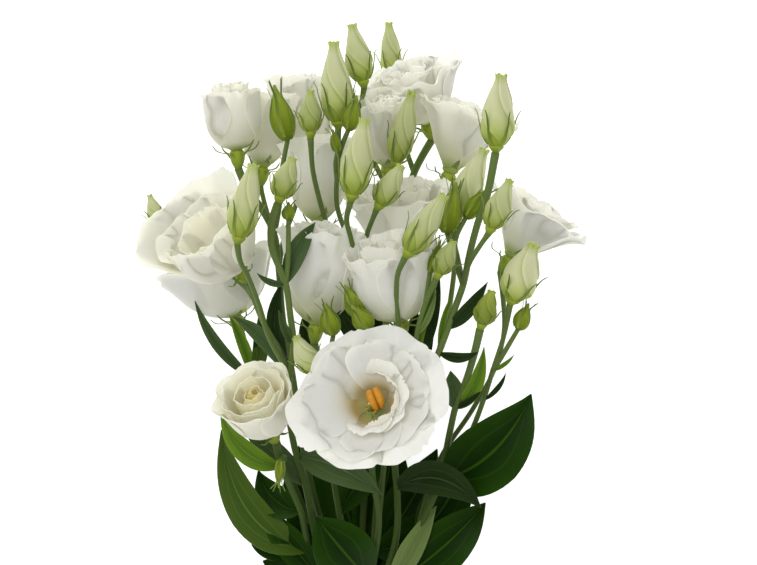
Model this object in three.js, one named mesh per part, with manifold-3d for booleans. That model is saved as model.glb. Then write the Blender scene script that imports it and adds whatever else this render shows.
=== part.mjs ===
import * as THREE from "three";
import Module from "manifold-3d";

// A hand-tied bunch of white lisianthus, lying on its back on a surface.
// Ten leafy stems fan out from a twine tie and carry fifteen blooms and some thirty buds.
// Millimetres. +X is to the right, +Y runs from the cut ends to the flower heads, +Z is up.
// The origin is on the surface, under the middle of the bunch.

const wasm = await Module();
wasm.setup();

const PETAL_THICKNESS = 0.8;
const LEAF_THICKNESS = 0.9;
const TOUCH_GAP = 0.3;
const TRUNK_RADIUS = 1.9;
const TRUNK_SIDES = 5;
const BRANCH_RADIUS = 1.25;
const BRANCH_SIDES = 4;
const SLIVER = 0.1;
const MIDDLE_SHIFT = -0.75;

const WHITE = { color: 0xf4f2ea, roughness: 0.75 };
const CREAM = { color: 0xe4e9bd, roughness: 0.65 };
const GREEN = { color: 0x4f7a35, roughness: 0.6 };
const GOLD = { color: 0xe0930e, roughness: 0.6 };
const TWINE = { color: 0xb89b6a, roughness: 0.9 };

const DEGREE = Math.PI / 180;
const FULL_TURN = 2 * Math.PI;
const at = (point) => new THREE.Vector3(...point);
const mix = (a, b, share) => a + (b - a) * share;

// A list of values read at a share from 0 to 1 of its length, straight between them.
function along(values, share) {
  const place = Math.min(Math.max(share, 0), 1) * (values.length - 1);
  const index = Math.min(Math.floor(place), values.length - 2);
  return mix(values[index], values[index + 1], place - index);
}

function randomFrom(seed) {
  let state = seed;
  return () => {
    state = (state * 16807) % 2147483647;
    return state / 2147483647;
  };
}

// Solids

function solidOf(points, triangles) {
  const vertProperties = new Float32Array(points.flatMap((p) => [p.x, p.y, p.z]));
  const make = (faces) => new wasm.Manifold(new wasm.Mesh({
    numProp: 3,
    vertProperties,
    triVerts: new Uint32Array(faces.flat()),
  }));
  const solid = make(triangles);
  return solid.volume() > 0 ? solid : make(triangles.map(([a, b, c]) => [a, c, b]));
}

// A closed skin over rings of points. A ring of one point is a tip.
function loft(rings) {
  const triangles = [];
  const first = rings.map((_, i) => rings.slice(0, i).reduce((sum, ring) => sum + ring.length, 0));
  for (let i = 0; i + 1 < rings.length; i += 1) {
    const [near, far] = [rings[i].length, rings[i + 1].length];
    for (let j = 0; j < Math.max(near, far); j += 1) {
      const a = first[i] + (j % near);
      const b = first[i] + ((j + 1) % near);
      const c = first[i + 1] + ((j + 1) % far);
      const d = first[i + 1] + (j % far);
      if (near > 1) triangles.push([a, b, c]);
      if (far > 1) triangles.push([a, c, d]);
    }
  }
  const last = rings.length - 1;
  for (let j = 1; j + 1 < rings[0].length; j += 1) triangles.push([first[0], j + 1, j]);
  for (let j = 1; j + 1 < rings[last].length; j += 1) {
    triangles.push([first[last], first[last] + j, first[last] + j + 1]);
  }
  return solidOf(rings.flat(), triangles);
}

// A thin closed blade on a surface of (s, t), with s from 0 at the root to 1 and t from -1 to 1.
// Both faces are split along the same diagonals, so a waved blade never crosses itself.
function blade(surface, rows, columns, thickness) {
  const near = 0.01;
  const upper = [];
  const lower = [];
  for (let i = 0; i <= rows; i += 1) {
    for (let j = 0; j <= columns; j += 1) {
      const s = i / rows;
      const t = (2 * j) / columns - 1;
      const down = surface(Math.min(s + near, 1), t).sub(surface(Math.max(s - near, 0), t));
      const over = surface(s, Math.min(t + near, 1)).sub(surface(s, Math.max(t - near, -1)));
      const half = down.cross(over).normalize().multiplyScalar(thickness / 2);
      upper.push(surface(s, t).add(half));
      lower.push(surface(s, t).sub(half));
    }
  }
  const count = upper.length;
  const index = (i, j) => i * (columns + 1) + j;
  const triangles = [];
  for (let i = 0; i < rows; i += 1) {
    for (let j = 0; j < columns; j += 1) {
      const [a, b, c, d] = [index(i, j), index(i, j + 1), index(i + 1, j + 1), index(i + 1, j)];
      triangles.push([a, b, c], [a, c, d]);
      triangles.push([count + a, count + c, count + b], [count + a, count + d, count + c]);
    }
  }
  const edge = [];
  for (let j = 0; j < columns; j += 1) edge.push(index(0, j));
  for (let i = 0; i < rows; i += 1) edge.push(index(i, columns));
  for (let j = columns; j > 0; j -= 1) edge.push(index(rows, j));
  for (let i = rows; i > 0; i -= 1) edge.push(index(i, 0));
  edge.forEach((a, k) => {
    const b = edge[(k + 1) % edge.length];
    triangles.push([b, a, count + a], [b, count + a, count + b]);
  });
  return solidOf([...upper, ...lower], triangles);
}

// A rod with a ring at each point of its route, of the radius given there. A radius of 0 is a tip.
function rod(route, radii, sides) {
  const points = route.map(at);
  const last = points.length - 1;
  let across = new THREE.Vector3(0.31, 0.2, 0.93);
  const rings = points.map((centre, i) => {
    const tangent = points[Math.min(i + 1, last)].clone().sub(points[Math.max(i - 1, 0)]).normalize();
    across = across.clone().addScaledVector(tangent, -across.dot(tangent)).normalize();
    const other = tangent.clone().cross(across);
    const radius = radii[i];
    if (radius === 0) return [centre];
    return Array.from({ length: sides }, (_, j) => {
      const turn = (FULL_TURN * j) / sides;
      return centre.clone()
        .addScaledVector(across, radius * Math.cos(turn))
        .addScaledVector(other, radius * Math.sin(turn));
    });
  });
  return loft(rings);
}

// The axes of a flower: up along its axis, to its right, and to the side that faces +Z.
function standAt(base, towards) {
  const origin = at(base);
  const up = at(towards).sub(origin).normalize();
  const front = new THREE.Vector3(0, 0, 1).addScaledVector(up, -up.z).normalize();
  const right = up.clone().cross(front);
  const point = (x, y, h) => origin.clone()
    .addScaledVector(right, x)
    .addScaledVector(front, y)
    .addScaledVector(up, h);
  const round = (radius, height, sides, turn = 0) => Array.from({ length: sides }, (_, j) => {
    const angle = (FULL_TURN * j) / sides + turn;
    return point(radius * Math.cos(angle), radius * Math.sin(angle), height);
  });
  return { point, round, reach: at(towards).distanceTo(origin) };
}

// Petals and blooms

const PETAL_ROOT_RADIUS = [3, 1.8, 0.9];
const PETAL_ROOT_HEIGHT = [0.8, 2, 2.6];
const PETAL_SPREAD = [0.16, 0.56, 0.9, 1, 0.92];
const PETAL_WRAP = 1.05;
const PETAL_OVERLAP = 1;
const MERIDIAN_STEPS = 20;

// A petal's midline leans away from the flower's axis by the angles of lean, root to tip.
function meridian(lean, length, row) {
  const radii = [PETAL_ROOT_RADIUS[row]];
  const heights = [PETAL_ROOT_HEIGHT[row]];
  const leans = [lean[0] * DEGREE];
  const step = length / MERIDIAN_STEPS;
  for (let i = 0; i < MERIDIAN_STEPS; i += 1) {
    const angle = along(lean, (i + 0.5) / MERIDIAN_STEPS) * DEGREE;
    radii.push(radii[i] + Math.sin(angle) * step);
    heights.push(heights[i] + Math.cos(angle) * step);
    leans.push(angle);
  }
  return (s) => [along(radii, s), along(heights, s), along(leans, s)];
}

// Where (s, t) of a petal lies, as [to the right, to the front, up] in its flower.
function petalPoint(petal, s, t) {
  const [radius, height, lean] = petal.line(s * (1 - petal.taper * Math.abs(t) ** 2.6));
  const bend = Math.max(radius * PETAL_WRAP, 1);
  const angle = t * petal.halfAngle * along(PETAL_SPREAD, s);
  const wave = petal.wave * s ** 2.5 * Math.sin(petal.waves * (petal.turn + angle) + petal.phase);
  const lift = wave + PETAL_OVERLAP * t * Math.min(1, 6 * s);
  const outward = radius - bend * (1 - Math.cos(angle)) + lift * Math.cos(lean);
  const sideways = bend * Math.sin(angle);
  const [c, d] = [Math.cos(petal.turn), Math.sin(petal.turn)];
  return [
    outward * c - sideways * d,
    (outward * d + sideways * c) * petal.flat,
    height - lift * Math.sin(lean),
  ];
}

// Rings of petals by form of bloom: how many, how long for the bloom's size, how far each
// leans from the axis from root to tip in degrees, and the depth of its waves. The petals of
// a ring fill it between them, each with one edge under its neighbour's, and none crosses.
const FORMS = {
  open: [
    { count: 5, long: 1, lean: [80, 24, 74, 90], wave: 1.8 },
    { count: 4, long: 0.9, lean: [80, 14, 62, 86], wave: 1.6 },
    { count: 3, long: 0.78, lean: [80, 8, 46, 76], wave: 1.2 },
  ],
  wide: [
    { count: 5, long: 1, lean: [62, 40, 52, 84], wave: 1.8 },
    { count: 4, long: 0.88, lean: [44, 14, 20, 50], wave: 1.5 },
  ],
  bowl: [
    { count: 5, long: 1, lean: [74, 34, 26, 62], wave: 1.5 },
    { count: 3, long: 0.88, lean: [46, 10, 8, 30], wave: 1.2 },
  ],
  goblet: [
    { count: 4, long: 1, lean: [78, 24, 0, 26], wave: 1.2 },
    { count: 3, long: 0.94, lean: [46, 6, -4, 6], wave: 0.8 },
  ],
  funnel: [
    { count: 5, long: 1, lean: [42, 36, 38, 70], wave: 1.6 },
    { count: 3, long: 0.86, lean: [26, 14, 18, 36], wave: 1.2 },
  ],
  barrel: [
    { count: 4, long: 1, lean: [80, 22, -4, 12], wave: 1 },
    { count: 3, long: 0.95, lean: [50, 4, -8, -4], wave: 0.8 },
  ],
  rosette: [
    { count: 4, long: 1, lean: [62, 28, 14, 54], wave: 1.2 },
    { count: 3, long: 0.9, lean: [40, 6, -6, 10], wave: 0.8 },
  ],
};

function petalsOf(bloom) {
  const random = randomFrom(bloom.seed);
  const vary = (amount) => (random() * 2 - 1) * amount;
  const petals = [];
  FORMS[bloom.form].forEach((ring, row) => {
    const phase = random() * FULL_TURN;
    for (let k = 0; k < ring.count; k += 1) {
      const share = (k + row * 0.5) / ring.count;
      const lean = ring.lean.map((angle) => angle * bloom.spread + vary(1));
      petals.push({
        row,
        line: meridian(lean, bloom.size * ring.long * (1 + vary(0.03)), row),
        halfAngle: Math.PI / ring.count,
        turn: share * FULL_TURN + bloom.turn * DEGREE + vary(0.03),
        taper: 0.16 + vary(0.02),
        wave: ring.wave,
        waves: ring.count * 2 - 1,
        phase,
        flat: bloom.flat,
      });
    }
  });
  return petals;
}

const HEART_SIDES = 6;
const HEART_TOP = 4.6;
const PETAL_COLUMNS = [3, 2, 2];

function bloomSolid(bloom) {
  const stand = standAt(bloom.base, bloom.mouth);
  const heart = loft([
    stand.round(3.6, 0, HEART_SIDES),
    stand.round(4.4, 2.6, HEART_SIDES),
    stand.round(2.4, HEART_TOP, HEART_SIDES),
  ]);
  const rows = bloom.form === "open" ? 4 : 3;
  const petals = petalsOf(bloom).map((petal) => {
    const surface = (s, t) => stand.point(...petalPoint(petal, s, t));
    return blade(surface, rows, PETAL_COLUMNS[petal.row], PETAL_THICKNESS);
  });
  return wasm.Manifold.union([heart, ...petals]);
}

// base is the foot of the petals, mouth a point up the axis, size the length of a petal.
// spread opens the petals, and flat is the depth for the width where neighbours press on them.
const BLOOMS = {
  front: {
    form: "open", base: [7, 4, 106], mouth: [3, 13, 129], size: 43,
    spread: 1, flat: 1, turn: 20, seed: 11,
  },
  front_left: {
    form: "rosette", base: [-46.5, -10, 90], mouth: [-55.5, 20, 113], size: 34,
    spread: 1, flat: 0.95, turn: 30, seed: 23,
  },
  left: {
    form: "wide", base: [-62.5, 74, 75], mouth: [-82, 97, 95], size: 46,
    spread: 1, flat: 0.95, turn: 50, seed: 37,
  },
  lower_left: {
    form: "bowl", base: [-65.5, 50, 22.4], mouth: [-73, 78, 23.4], size: 44,
    spread: 1, flat: 0.8, turn: 12, seed: 41,
  },
  middle_left: {
    form: "goblet", base: [-23.5, 46.5, 78], mouth: [-19.5, 89, 84], size: 54,
    spread: 0.75, flat: 0.85, turn: 70, seed: 53,
  },
  middle_right: {
    form: "goblet", base: [18.5, 49, 92], mouth: [13, 84, 106], size: 45,
    spread: 0.95, flat: 0.8, turn: 40, seed: 67,
  },
  centre: {
    form: "bowl", base: [22, 75, 56], mouth: [18, 105, 66], size: 48,
    spread: 0.72, flat: 0.8, turn: 92, seed: 71,
  },
  far_right: {
    form: "funnel", base: [71, 76, 23.4], mouth: [90, 103, 25.4], size: 43,
    spread: 1, flat: 0.85, turn: 25, seed: 83,
  },
  top_right: {
    form: "funnel", base: [43.5, 123, 52], mouth: [54, 156.5, 56], size: 41,
    spread: 0.74, flat: 0.85, turn: 33, seed: 97,
  },
  top: {
    form: "bowl", base: [32.5, 149, 28], mouth: [24, 172.5, 38], size: 38,
    spread: 0.86, flat: 0.85, turn: 64, seed: 101,
  },
  top_middle: {
    form: "goblet", base: [12.5, 127, 46], mouth: [9.5, 160, 62], size: 36,
    spread: 0.42, flat: 0.9, turn: 45, seed: 113,
  },
  top_left: {
    form: "barrel", base: [-63.5, 134, 68], mouth: [-66.5, 165, 71], size: 35,
    spread: 1, flat: 0.9, turn: 75, seed: 127,
  },
  back_left: {
    form: "goblet", base: [-51.5, 126, 44], mouth: [-50, 160, 42], size: 40,
    spread: 0.6, flat: 0.9, turn: 15, seed: 131,
  },
  back: {
    form: "goblet", base: [-31.5, 129, 22], mouth: [-31.5, 166, 22], size: 48,
    spread: 0.7, flat: 0.9, turn: 52, seed: 149,
  },
  inner: {
    form: "goblet", base: [-22.5, 98, 54], mouth: [-23.5, 134, 56], size: 46,
    spread: 0.7, flat: 0.85, turn: 27, seed: 151,
  },
};

// The pistil in the throat of the bloom that lies open to the front.
function pistilSolid(bloom) {
  const stand = standAt(bloom.base, bloom.mouth);
  const outline = [[0.7, HEART_TOP + TOUCH_GAP], [0.8, 8], [1.4, 11], [2.3, 14.5], [0.8, 16.5]];
  return loft(outline.map(([radius, height]) => stand.round(radius, height, 6)));
}

// Buds

// The outline of a bud: the share of its length, and the radius as a share of its width.
const BUD_OUTLINE = [[0, 0.14], [0.12, 0.36], [0.3, 0.5], [0.52, 0.45], [0.74, 0.32], [0.94, 0.15], [1, 0.2]];
const BUD_SIDES = 6;
const BUD_TWIST = 50;

function budRadius(bud, share) {
  const k = Math.max(1, BUD_OUTLINE.findIndex(([height]) => height >= share));
  const [[low, thin], [high, thick]] = [BUD_OUTLINE[k - 1], BUD_OUTLINE[k]];
  return bud.width * mix(thin, thick, (share - low) / (high - low));
}

function budSolid(bud) {
  const stand = standAt(bud.base, bud.tip);
  return loft(BUD_OUTLINE.map(([share, radius]) => {
    const turn = share * BUD_TWIST * DEGREE;
    return stand.round(radius * bud.width, share * stand.reach, BUD_SIDES, turn);
  }));
}

const BUDS = {
  top_back: { base: [15, 173, 5.6], tip: [13, 202, 5.6], width: 12 },
  top_high: { base: [0, 168, 70], tip: [-5.5, 197, 72], width: 13.5 },
  top_large: { base: [-12.5, 147, 80], tip: [-14.5, 187.5, 84], width: 16 },
  top_stalked: { base: [-26, 142, 92], tip: [-26, 163, 95], width: 11.5 },
  centre_large: { base: [-5.5, 110, 112], tip: [1, 148, 116], width: 15.5 },
  centre_high: { base: [16.5, 128, 66], tip: [24.5, 162.5, 84], width: 13 },
  centre_small: { base: [8, 106, 98], tip: [19, 125.5, 102], width: 12.5 },
  left_large: { base: [-60.5, 89, 132], tip: [-53, 125, 136], width: 15 },
  left_small: { base: [-41, 109, 112], tip: [-34.5, 129, 112], width: 12.5 },
  left_hidden: { base: [-103, 96.5, 54], tip: [-108, 112, 52], width: 8.5 },
  right_tall: { base: [65.5, 134, 110], tip: [68, 170, 114], width: 16.5 },
  right_inner: { base: [46, 100, 84], tip: [60.5, 134, 88], width: 15 },
  right_upper: { base: [62.5, 94, 118], tip: [72, 118, 123], width: 12.5 },
  right_front: { base: [22, 82, 128], tip: [40, 110.5, 130], width: 13.5 },
  right_cluster: { base: [37, 72, 120], tip: [44.5, 88, 124], width: 10.5 },
  right_broad: { base: [73.5, 59, 102], tip: [84, 86.5, 112], width: 18 },
  right_low: { base: [58.5, 47, 106], tip: [63.5, 63.5, 110], width: 11.5 },
  behind_front: { base: [-24, 23, 96], tip: [-33, 41, 102], width: 11 },
};

// Calyxes and sepals, which are green and grow with the stems

const SEPALS = 4;
const SEPAL_SIDES = 3;

// The cup under a bloom or bud, as the heights down its axis and the radii where it is widest.
function calyxOf(head) {
  const stand = standAt(head.base, head.mouth ?? head.tip);
  const cup = head.mouth
    ? { heights: [-10.5, -6, -TOUCH_GAP], radii: [1.3, 3.5, 3.6] }
    : { heights: [-6, -TOUCH_GAP], radii: [1.2, budRadius(head, 0) + 1.3] };
  return { stand, radii: cup.radii, route: cup.heights.map((h) => stand.point(0, 0, h).toArray()) };
}

// Thin sepals, which stand out under a bloom and point up past the swelling of a bud.
function sepalsOf(head) {
  const { stand } = calyxOf(head);
  return Array.from({ length: SEPALS }, (_, k) => {
    const turn = ((k + 0.4) / SEPALS) * FULL_TURN;
    const out = (radius, height) => {
      return stand.point(radius * Math.cos(turn), radius * Math.sin(turn), height).toArray();
    };
    if (head.mouth) return rod([out(2.4, -3), out(11, -1.5)], [0.9, 0], SEPAL_SIDES);
    const tip = out(head.width / 2 + 5, 0.36 * stand.reach);
    return rod([out(budRadius(head, 0), -1.5), tip], [0.8, 0], SEPAL_SIDES);
  });
}

// A small unripe bud, all green, which is one piece with its stalk.
function greenBud({ base, tip, width }) {
  const stand = standAt(base, tip);
  const outline = [[0, 0.2], [0.16, 0.42], [0.38, 0.5], [0.7, 0.28]];
  const rings = outline.map(([share, radius]) => {
    return stand.round(radius * width, share * stand.reach, BRANCH_SIDES);
  });
  return loft([...rings, [stand.point(0, 0, stand.reach)]]);
}

// Leaves

const LEAF_ROWS = 4;
const LEAF_OUTLINE = [0.14, 0.66, 0.96, 1, 0.84, 0.52, 0.06];

// A pointed leaf from its root on a stem, bent towards via, to its tip. Its upper side looks
// along face, and its edges stand above the midrib by fold, a share of its half width.
function leafSolid({ root, via, tip, width, face = [0, 0, 1], fold = 0.25 }) {
  const look = at(face).normalize();
  const curve = new THREE.QuadraticBezierCurve3(at(root), at(via), at(tip));
  const surface = (s, t) => {
    const tangent = curve.getTangent(s);
    const up = look.clone().addScaledVector(tangent, -look.dot(tangent)).normalize();
    const side = tangent.clone().cross(up);
    const half = (width / 2) * along(LEAF_OUTLINE, s);
    return curve.getPoint(s)
      .addScaledVector(side, t * half)
      .addScaledVector(up, Math.abs(t) * half * fold);
  };
  return blade(surface, LEAF_ROWS, 2, LEAF_THICKNESS);
}

// Stems

const TIE_CENTRE = [-2.5, -113, 12.4];
const TIE_HALF_LENGTH = 5;
const STEM_PITCH = 4.3;
const ROW_PITCH = STEM_PITCH * Math.sin(60 * DEGREE);
const END_SPREAD = 2.2;
const END_ROW_PITCH = 4.6;
const END_SEAT = 1.75;

// Each stem's slot in the tie is counted in half pitches to the right and in rows up, and cut
// is the Y of its cut end. Its trunk rises through points to the bloom or bud that it carries,
// and each branch starts at a point of the stem. Green buds and leaves grow on the stem too.
const STEMS = {
  front: {
    slot: [0, 1], cut: -198, carries: "front",
    trunk: [[3, -84, 33], [8, -51, 56], [4.5, -25, 76], [6, -6, 90]],
    branches: [
      { carries: "middle_right", route: [[8, -51, 56], [10.8, -22, 70], [15, 10, 80], [19, 28, 85]] },
      { carries: "behind_front", route: [[4.5, -25, 76], [-8, -8, 80], [-17, 8, 86]] },
      {
        carries: "right_front",
        route: [[15, 10, 80], [18.5, 30, 93], [17.5, 48, 104], [16.5, 64, 116], [17.5, 73, 124]],
      },
      {
        carries: "centre_large",
        route: [[15, 10, 80], [7, 35, 84], [-1, 70, 88], [-6, 90, 98], [-8, 99, 105]],
      },
      { carries: "centre_small", route: [[-1, 70, 88], [1, 80, 84], [2, 91.5, 86], [4, 97, 92]] },
      { route: [[7, 35, 84], [2, 44, 92], [-0.5, 51.5, 98]] },
      { route: [[7, 35, 84], [5, 41, 95], [3.5, 45, 103]] },
    ],
    green: [
      { base: [-0.5, 51, 98], tip: [-9, 66.5, 102], width: 10 },
      { base: [3.5, 45, 103], tip: [-5.5, 56.5, 108], width: 10 },
    ],
    leaves: [
      { root: [3, -84, 33], via: [-12, -66, 60], tip: [-24, -50, 62], width: 30 },
    ],
  },
  left: {
    slot: [-2, 1], cut: -195, carries: "left_small",
    trunk: [
      [-14.5, -88, 30], [-22.5, -67.5, 40], [-29, -35, 57], [-35, -12, 68], [-37.5, 8, 76],
      [-36.5, 21.5, 81], [-34.5, 36.5, 88], [-36, 52, 96], [-38, 67, 104], [-45, 88, 111],
      [-44.5, 98, 112],
    ],
    branches: [
      { carries: "left", route: [[-36.5, 21.5, 81], [-43, 36, 80], [-50.5, 49, 76], [-55, 60, 71]] },
      {
        carries: "left_large",
        route: [[-36.5, 21.5, 81], [-47, 42, 94], [-51, 56, 104], [-56, 70, 116], [-60, 79, 126]],
      },
      { carries: "left_hidden", route: [[-50.5, 49, 76], [-66, 62, 62], [-84, 76, 57], [-98, 86, 55]] },
    ],
    leaves: [
      { root: [-33, -20, 64], via: [-14, -20, 78], tip: [9.5, -38.5, 74], width: 17 },
      { root: [-36.5, 21.5, 81], via: [-47, 42, 74], tip: [-65.5, 50.5, 66], width: 8.5 },
      { root: [-38, 67, 104], via: [-34, 84, 106], tip: [-23.5, 97.5, 98], width: 10 },
      { root: [-29, -35, 57], via: [-45, -16, 62], tip: [-60.5, -6, 60], width: 12 },
    ],
  },
  front_left: {
    slot: [-3, 0], cut: -190, carries: "front_left",
    trunk: [[-19, -88, 27], [-27.5, -68, 42], [-31.5, -47.5, 58], [-36, -36, 67], [-40.5, -24, 78]],
    branches: [{ route: [[-40.5, -24, 78], [-39, -19, 84], [-41, -20, 88]] }],
    green: [{ base: [-41, -20, 88], tip: [-42, -34.5, 85], width: 4.5 }],
    leaves: [
      { root: [-27.5, -68, 42], via: [-60, -62, 62], tip: [-71.5, -6.5, 58], width: 19 },
      { root: [-40.5, -24, 78], via: [-62, -22, 86], tip: [-71, 2.5, 84], width: 11 },
      { root: [-19, -88, 27], via: [-40, -60, 56], tip: [-51, -48, 50], width: 16 },
      { root: [-31.5, -47.5, 58], via: [-48, -46, 50], tip: [-53, -27, 54], width: 16 },
    ],
  },
  right: {
    slot: [2, 1], cut: -193, carries: "right_tall",
    trunk: [
      [9, -88, 28], [16.5, -63.5, 38], [17, -36, 52], [16, -23.5, 58], [24, 5, 76], [37.5, 33, 96],
      [46, 56.5, 102], [49.5, 66.5, 103], [52.5, 81, 104], [56.5, 96.5, 106], [61, 110, 108],
    ],
    branches: [
      { carries: "right_upper", route: [[49.5, 66.5, 103], [52, 76.5, 109], [57, 85, 115]] },
      { carries: "right_inner", route: [[49.5, 66.5, 103], [47, 80, 92], [45, 91, 85]] },
      { carries: "top_right", route: [[37.5, 33, 96], [44, 60, 70], [46, 85, 54], [43, 103, 48]] },
      { carries: "right_cluster", route: [[24, 5, 76], [26, 25, 92], [26.5, 41.5, 104], [31, 58, 113]] },
      { route: [[49.5, 66.5, 103], [45, 80, 102], [41.5, 92.5, 100]] },
      { route: [[45, 80, 102], [46, 90, 102], [51, 100, 101]] },
      { route: [[31, 58, 113], [33, 73, 115]] },
    ],
    green: [
      { base: [41.5, 92, 100], tip: [46, 117.5, 101], width: 12 },
      { base: [51, 99.5, 101], tip: [62.5, 115, 101], width: 8 },
      { base: [33, 72, 115], tip: [38.5, 89, 115], width: 4.5 },
    ],
    leaves: [
      { root: [46, 56.5, 102], via: [56, 60, 108], tip: [63.5, 75, 110], width: 8 },
      { root: [17, -36, 52], via: [38, -20, 92], tip: [59, -45, 74], width: 17 },
    ],
  },
  back_left: {
    slot: [-1, 0], cut: -199, carries: "top_left",
    trunk: [
      [-9, -90, 18], [-20, -60, 24], [-30, -20, 30], [-36, 20, 34], [-41, 50, 38], [-43, 75, 42],
      [-45, 92, 47], [-52, 106, 54], [-59, 116, 61],
    ],
    branches: [
      { carries: "back_left", route: [[-45, 92, 47], [-49, 104, 45]] },
      { carries: "back", route: [[-43, 75, 42], [-40, 92, 34], [-35, 106, 26]] },
      { route: [[-45, 92, 47], [-42, 108, 58], [-41, 122, 68], [-37.5, 140, 76]] },
    ],
    green: [{ base: [-37.5, 139, 76], tip: [-44.5, 166.5, 76], width: 12 }],
    leaves: [
      { root: [-20, -60, 24], via: [-48, -66, 36], tip: [-57, -66, 34], width: 20 },
    ],
  },
  middle: {
    slot: [1, 0], cut: -202, carries: "middle_left",
    trunk: [[-5, -84, 23], [-12, -50, 38], [-18, -10, 54], [-22, 20, 64]],
    branches: [
      { carries: "inner", route: [[-22, 20, 64], [-26, 45, 60], [-25, 68, 55]] },
      {
        carries: "top_stalked",
        route: [[-25, 68, 55], [-19, 84, 58], [-18.5, 96, 63], [-21.5, 108, 74], [-25, 124, 83]],
      },
      { route: [[-22, 20, 64], [-17, 30, 84], [-14.5, 42.5, 94]] },
    ],
    green: [{ base: [-14.5, 42, 94], tip: [-18.5, 57.5, 99], width: 10 }],
    leaves: [
      { root: [-12, -50, 38], via: [-2, -30, 46], tip: [14, -14, 44], width: 16 },
    ],
  },
  far_right: {
    slot: [3, 0], cut: -191, carries: "right_low",
    trunk: [
      [14, -88, 26], [26, -62, 42], [38.5, -32, 58], [43.5, -7, 72], [46, 5, 80], [52, 21.5, 91],
      [55.5, 34, 98],
    ],
    branches: [
      {
        carries: "right_broad",
        route: [[38.5, -32, 58], [51, -13.5, 70], [60, 9, 82], [64.5, 24, 89], [70, 42, 95]],
      },
      { carries: "far_right", route: [[26, -62, 42], [40, -20, 44], [50, 20, 36], [58, 50, 30]] },
      { route: [[64.5, 24, 89], [70, 33, 94], [77, 45, 97]] },
    ],
    green: [{ base: [77, 44.5, 97], tip: [82, 57.5, 99], width: 8 }],
    leaves: [
      { root: [38.5, -32, 58], via: [68, -24, 84], tip: [84, 12, 78], width: 34 },
      { root: [14, -88, 26], via: [44, -66, 52], tip: [62, -44, 44], width: 26 },
      { root: [14, -88, 26], via: [24, -68, 48], tip: [37, -45.5, 48], width: 12 },
      { root: [46, 5, 80], via: [60, 12, 90], tip: [62, 38.5, 98], width: 7 },
      { root: [46, 5, 80], via: [44, 14, 88], tip: [43, 24, 90], width: 8 },
    ],
  },
  lower_left: {
    slot: [-2, -1], cut: -196, carries: "lower_left",
    trunk: [[-11, -92, 10.5], [-28, -55, 13], [-44, -15, 18], [-56, 18, 22]],
    leaves: [
      { root: [-56, 18, 22], via: [-78, 34, 36], tip: [-86, 59, 34], width: 6 },
      { root: [-44, -15, 18], via: [-56, 0, 30], tip: [-70, 12, 26], width: 14 },
      { root: [-11, -92, 10.5], via: [-24, -74, 4], tip: [-40, -50, 4], width: 22 },
    ],
  },
  top: {
    slot: [0, -1], cut: -201, carries: "top",
    trunk: [[-1, -70, 13], [4, 0, 18], [14, 60, 20], [21, 100, 20], [26, 124, 20], [31, 134, 22]],
    branches: [
      { carries: "top_middle", route: [[21, 100, 20], [17, 109, 31]] },
      { carries: "centre_high", route: [[21, 100, 20], [22, 112, 34], [19, 119, 50]] },
      { carries: "top_back", route: [[26, 124, 20], [20, 142, 12], [16, 160, 7]] },
      { carries: "top_high", route: [[17, 109, 31], [8, 124, 34], [0, 142, 46], [-1, 154, 58]] },
      {
        carries: "top_large",
        route: [[14, 60, 20], [0, 80, 36], [-9, 94, 52], [-13, 106, 64], [-12.5, 130, 77]],
      },
      { route: [[-12.5, 130, 77], [-10, 137, 85], [-7, 144, 90]] },
      { route: [[-13, 120, 71], [-13.5, 128, 80], [-12.5, 133, 86]] },
    ],
    green: [
      { base: [-7, 143.5, 90], tip: [-3, 160.5, 95], width: 9 },
      { base: [-12.5, 132.5, 86], tip: [-15, 144, 90], width: 4.5 },
    ],
    leaves: [
      { root: [-1, -70, 13], via: [-12, -46, 5], tip: [-17, -12, 6], width: 30 },
      { root: [-1, -70, 13], via: [12, -48, 5], tip: [16, -8, 6], width: 28 },
    ],
  },
  centre: {
    slot: [2, -1], cut: -194, carries: "centre",
    trunk: [[5, -70, 18], [9, -20, 27], [15, 25, 38], [20, 50, 47]],
    leaves: [
      { root: [9, -20, 27], via: [26, -10, 36], tip: [36, 10, 36], width: 14 },
      { root: [5, -70, 18], via: [28, -68, 24], tip: [46, -44, 22], width: 22 },
    ],
  },
};

// The stretch of a stem below the blooms: its cut end, then straight through the tie.
function lowerStem({ slot: [column, row], cut }) {
  const [x, y, z] = TIE_CENTRE;
  const across = (column * STEM_PITCH) / 2;
  const seat = [x + across, z + row * ROW_PITCH];
  return [
    [x + across * END_SPREAD, cut, END_SEAT + (row + 1) * END_ROW_PITCH],
    [seat[0], y - TIE_HALF_LENGTH, seat[1]],
    [seat[0], y + TIE_HALF_LENGTH, seat[1]],
  ];
}

// A stretch of stem, which swells into the calyx of what it carries.
function stalk(name, route, radii, sides) {
  const head = BLOOMS[name] ?? BUDS[name];
  const calyx = head ? calyxOf(head) : { route: [], radii: [] };
  const grown = rod([...route, ...calyx.route], [...radii, ...calyx.radii], sides);
  return head ? [grown, ...sepalsOf(head)] : [grown];
}

function stemSolid(stem) {
  const trunk = [...lowerStem(stem), ...stem.trunk];
  const parts = stalk(stem.carries, trunk, trunk.map(() => TRUNK_RADIUS), TRUNK_SIDES);
  for (const { carries, route } of stem.branches ?? []) {
    parts.push(...stalk(carries, route, route.map(() => BRANCH_RADIUS), BRANCH_SIDES));
  }
  parts.push(...(stem.green ?? []).map(greenBud));
  parts.push(...(stem.leaves ?? []).map(leafSolid));
  return wasm.Manifold.union(parts);
}

// The tie

const TIE_INNER = [9, 7.4];
const TIE_DEPTH = 1.8;
const TIE_SIDES = 20;

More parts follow.
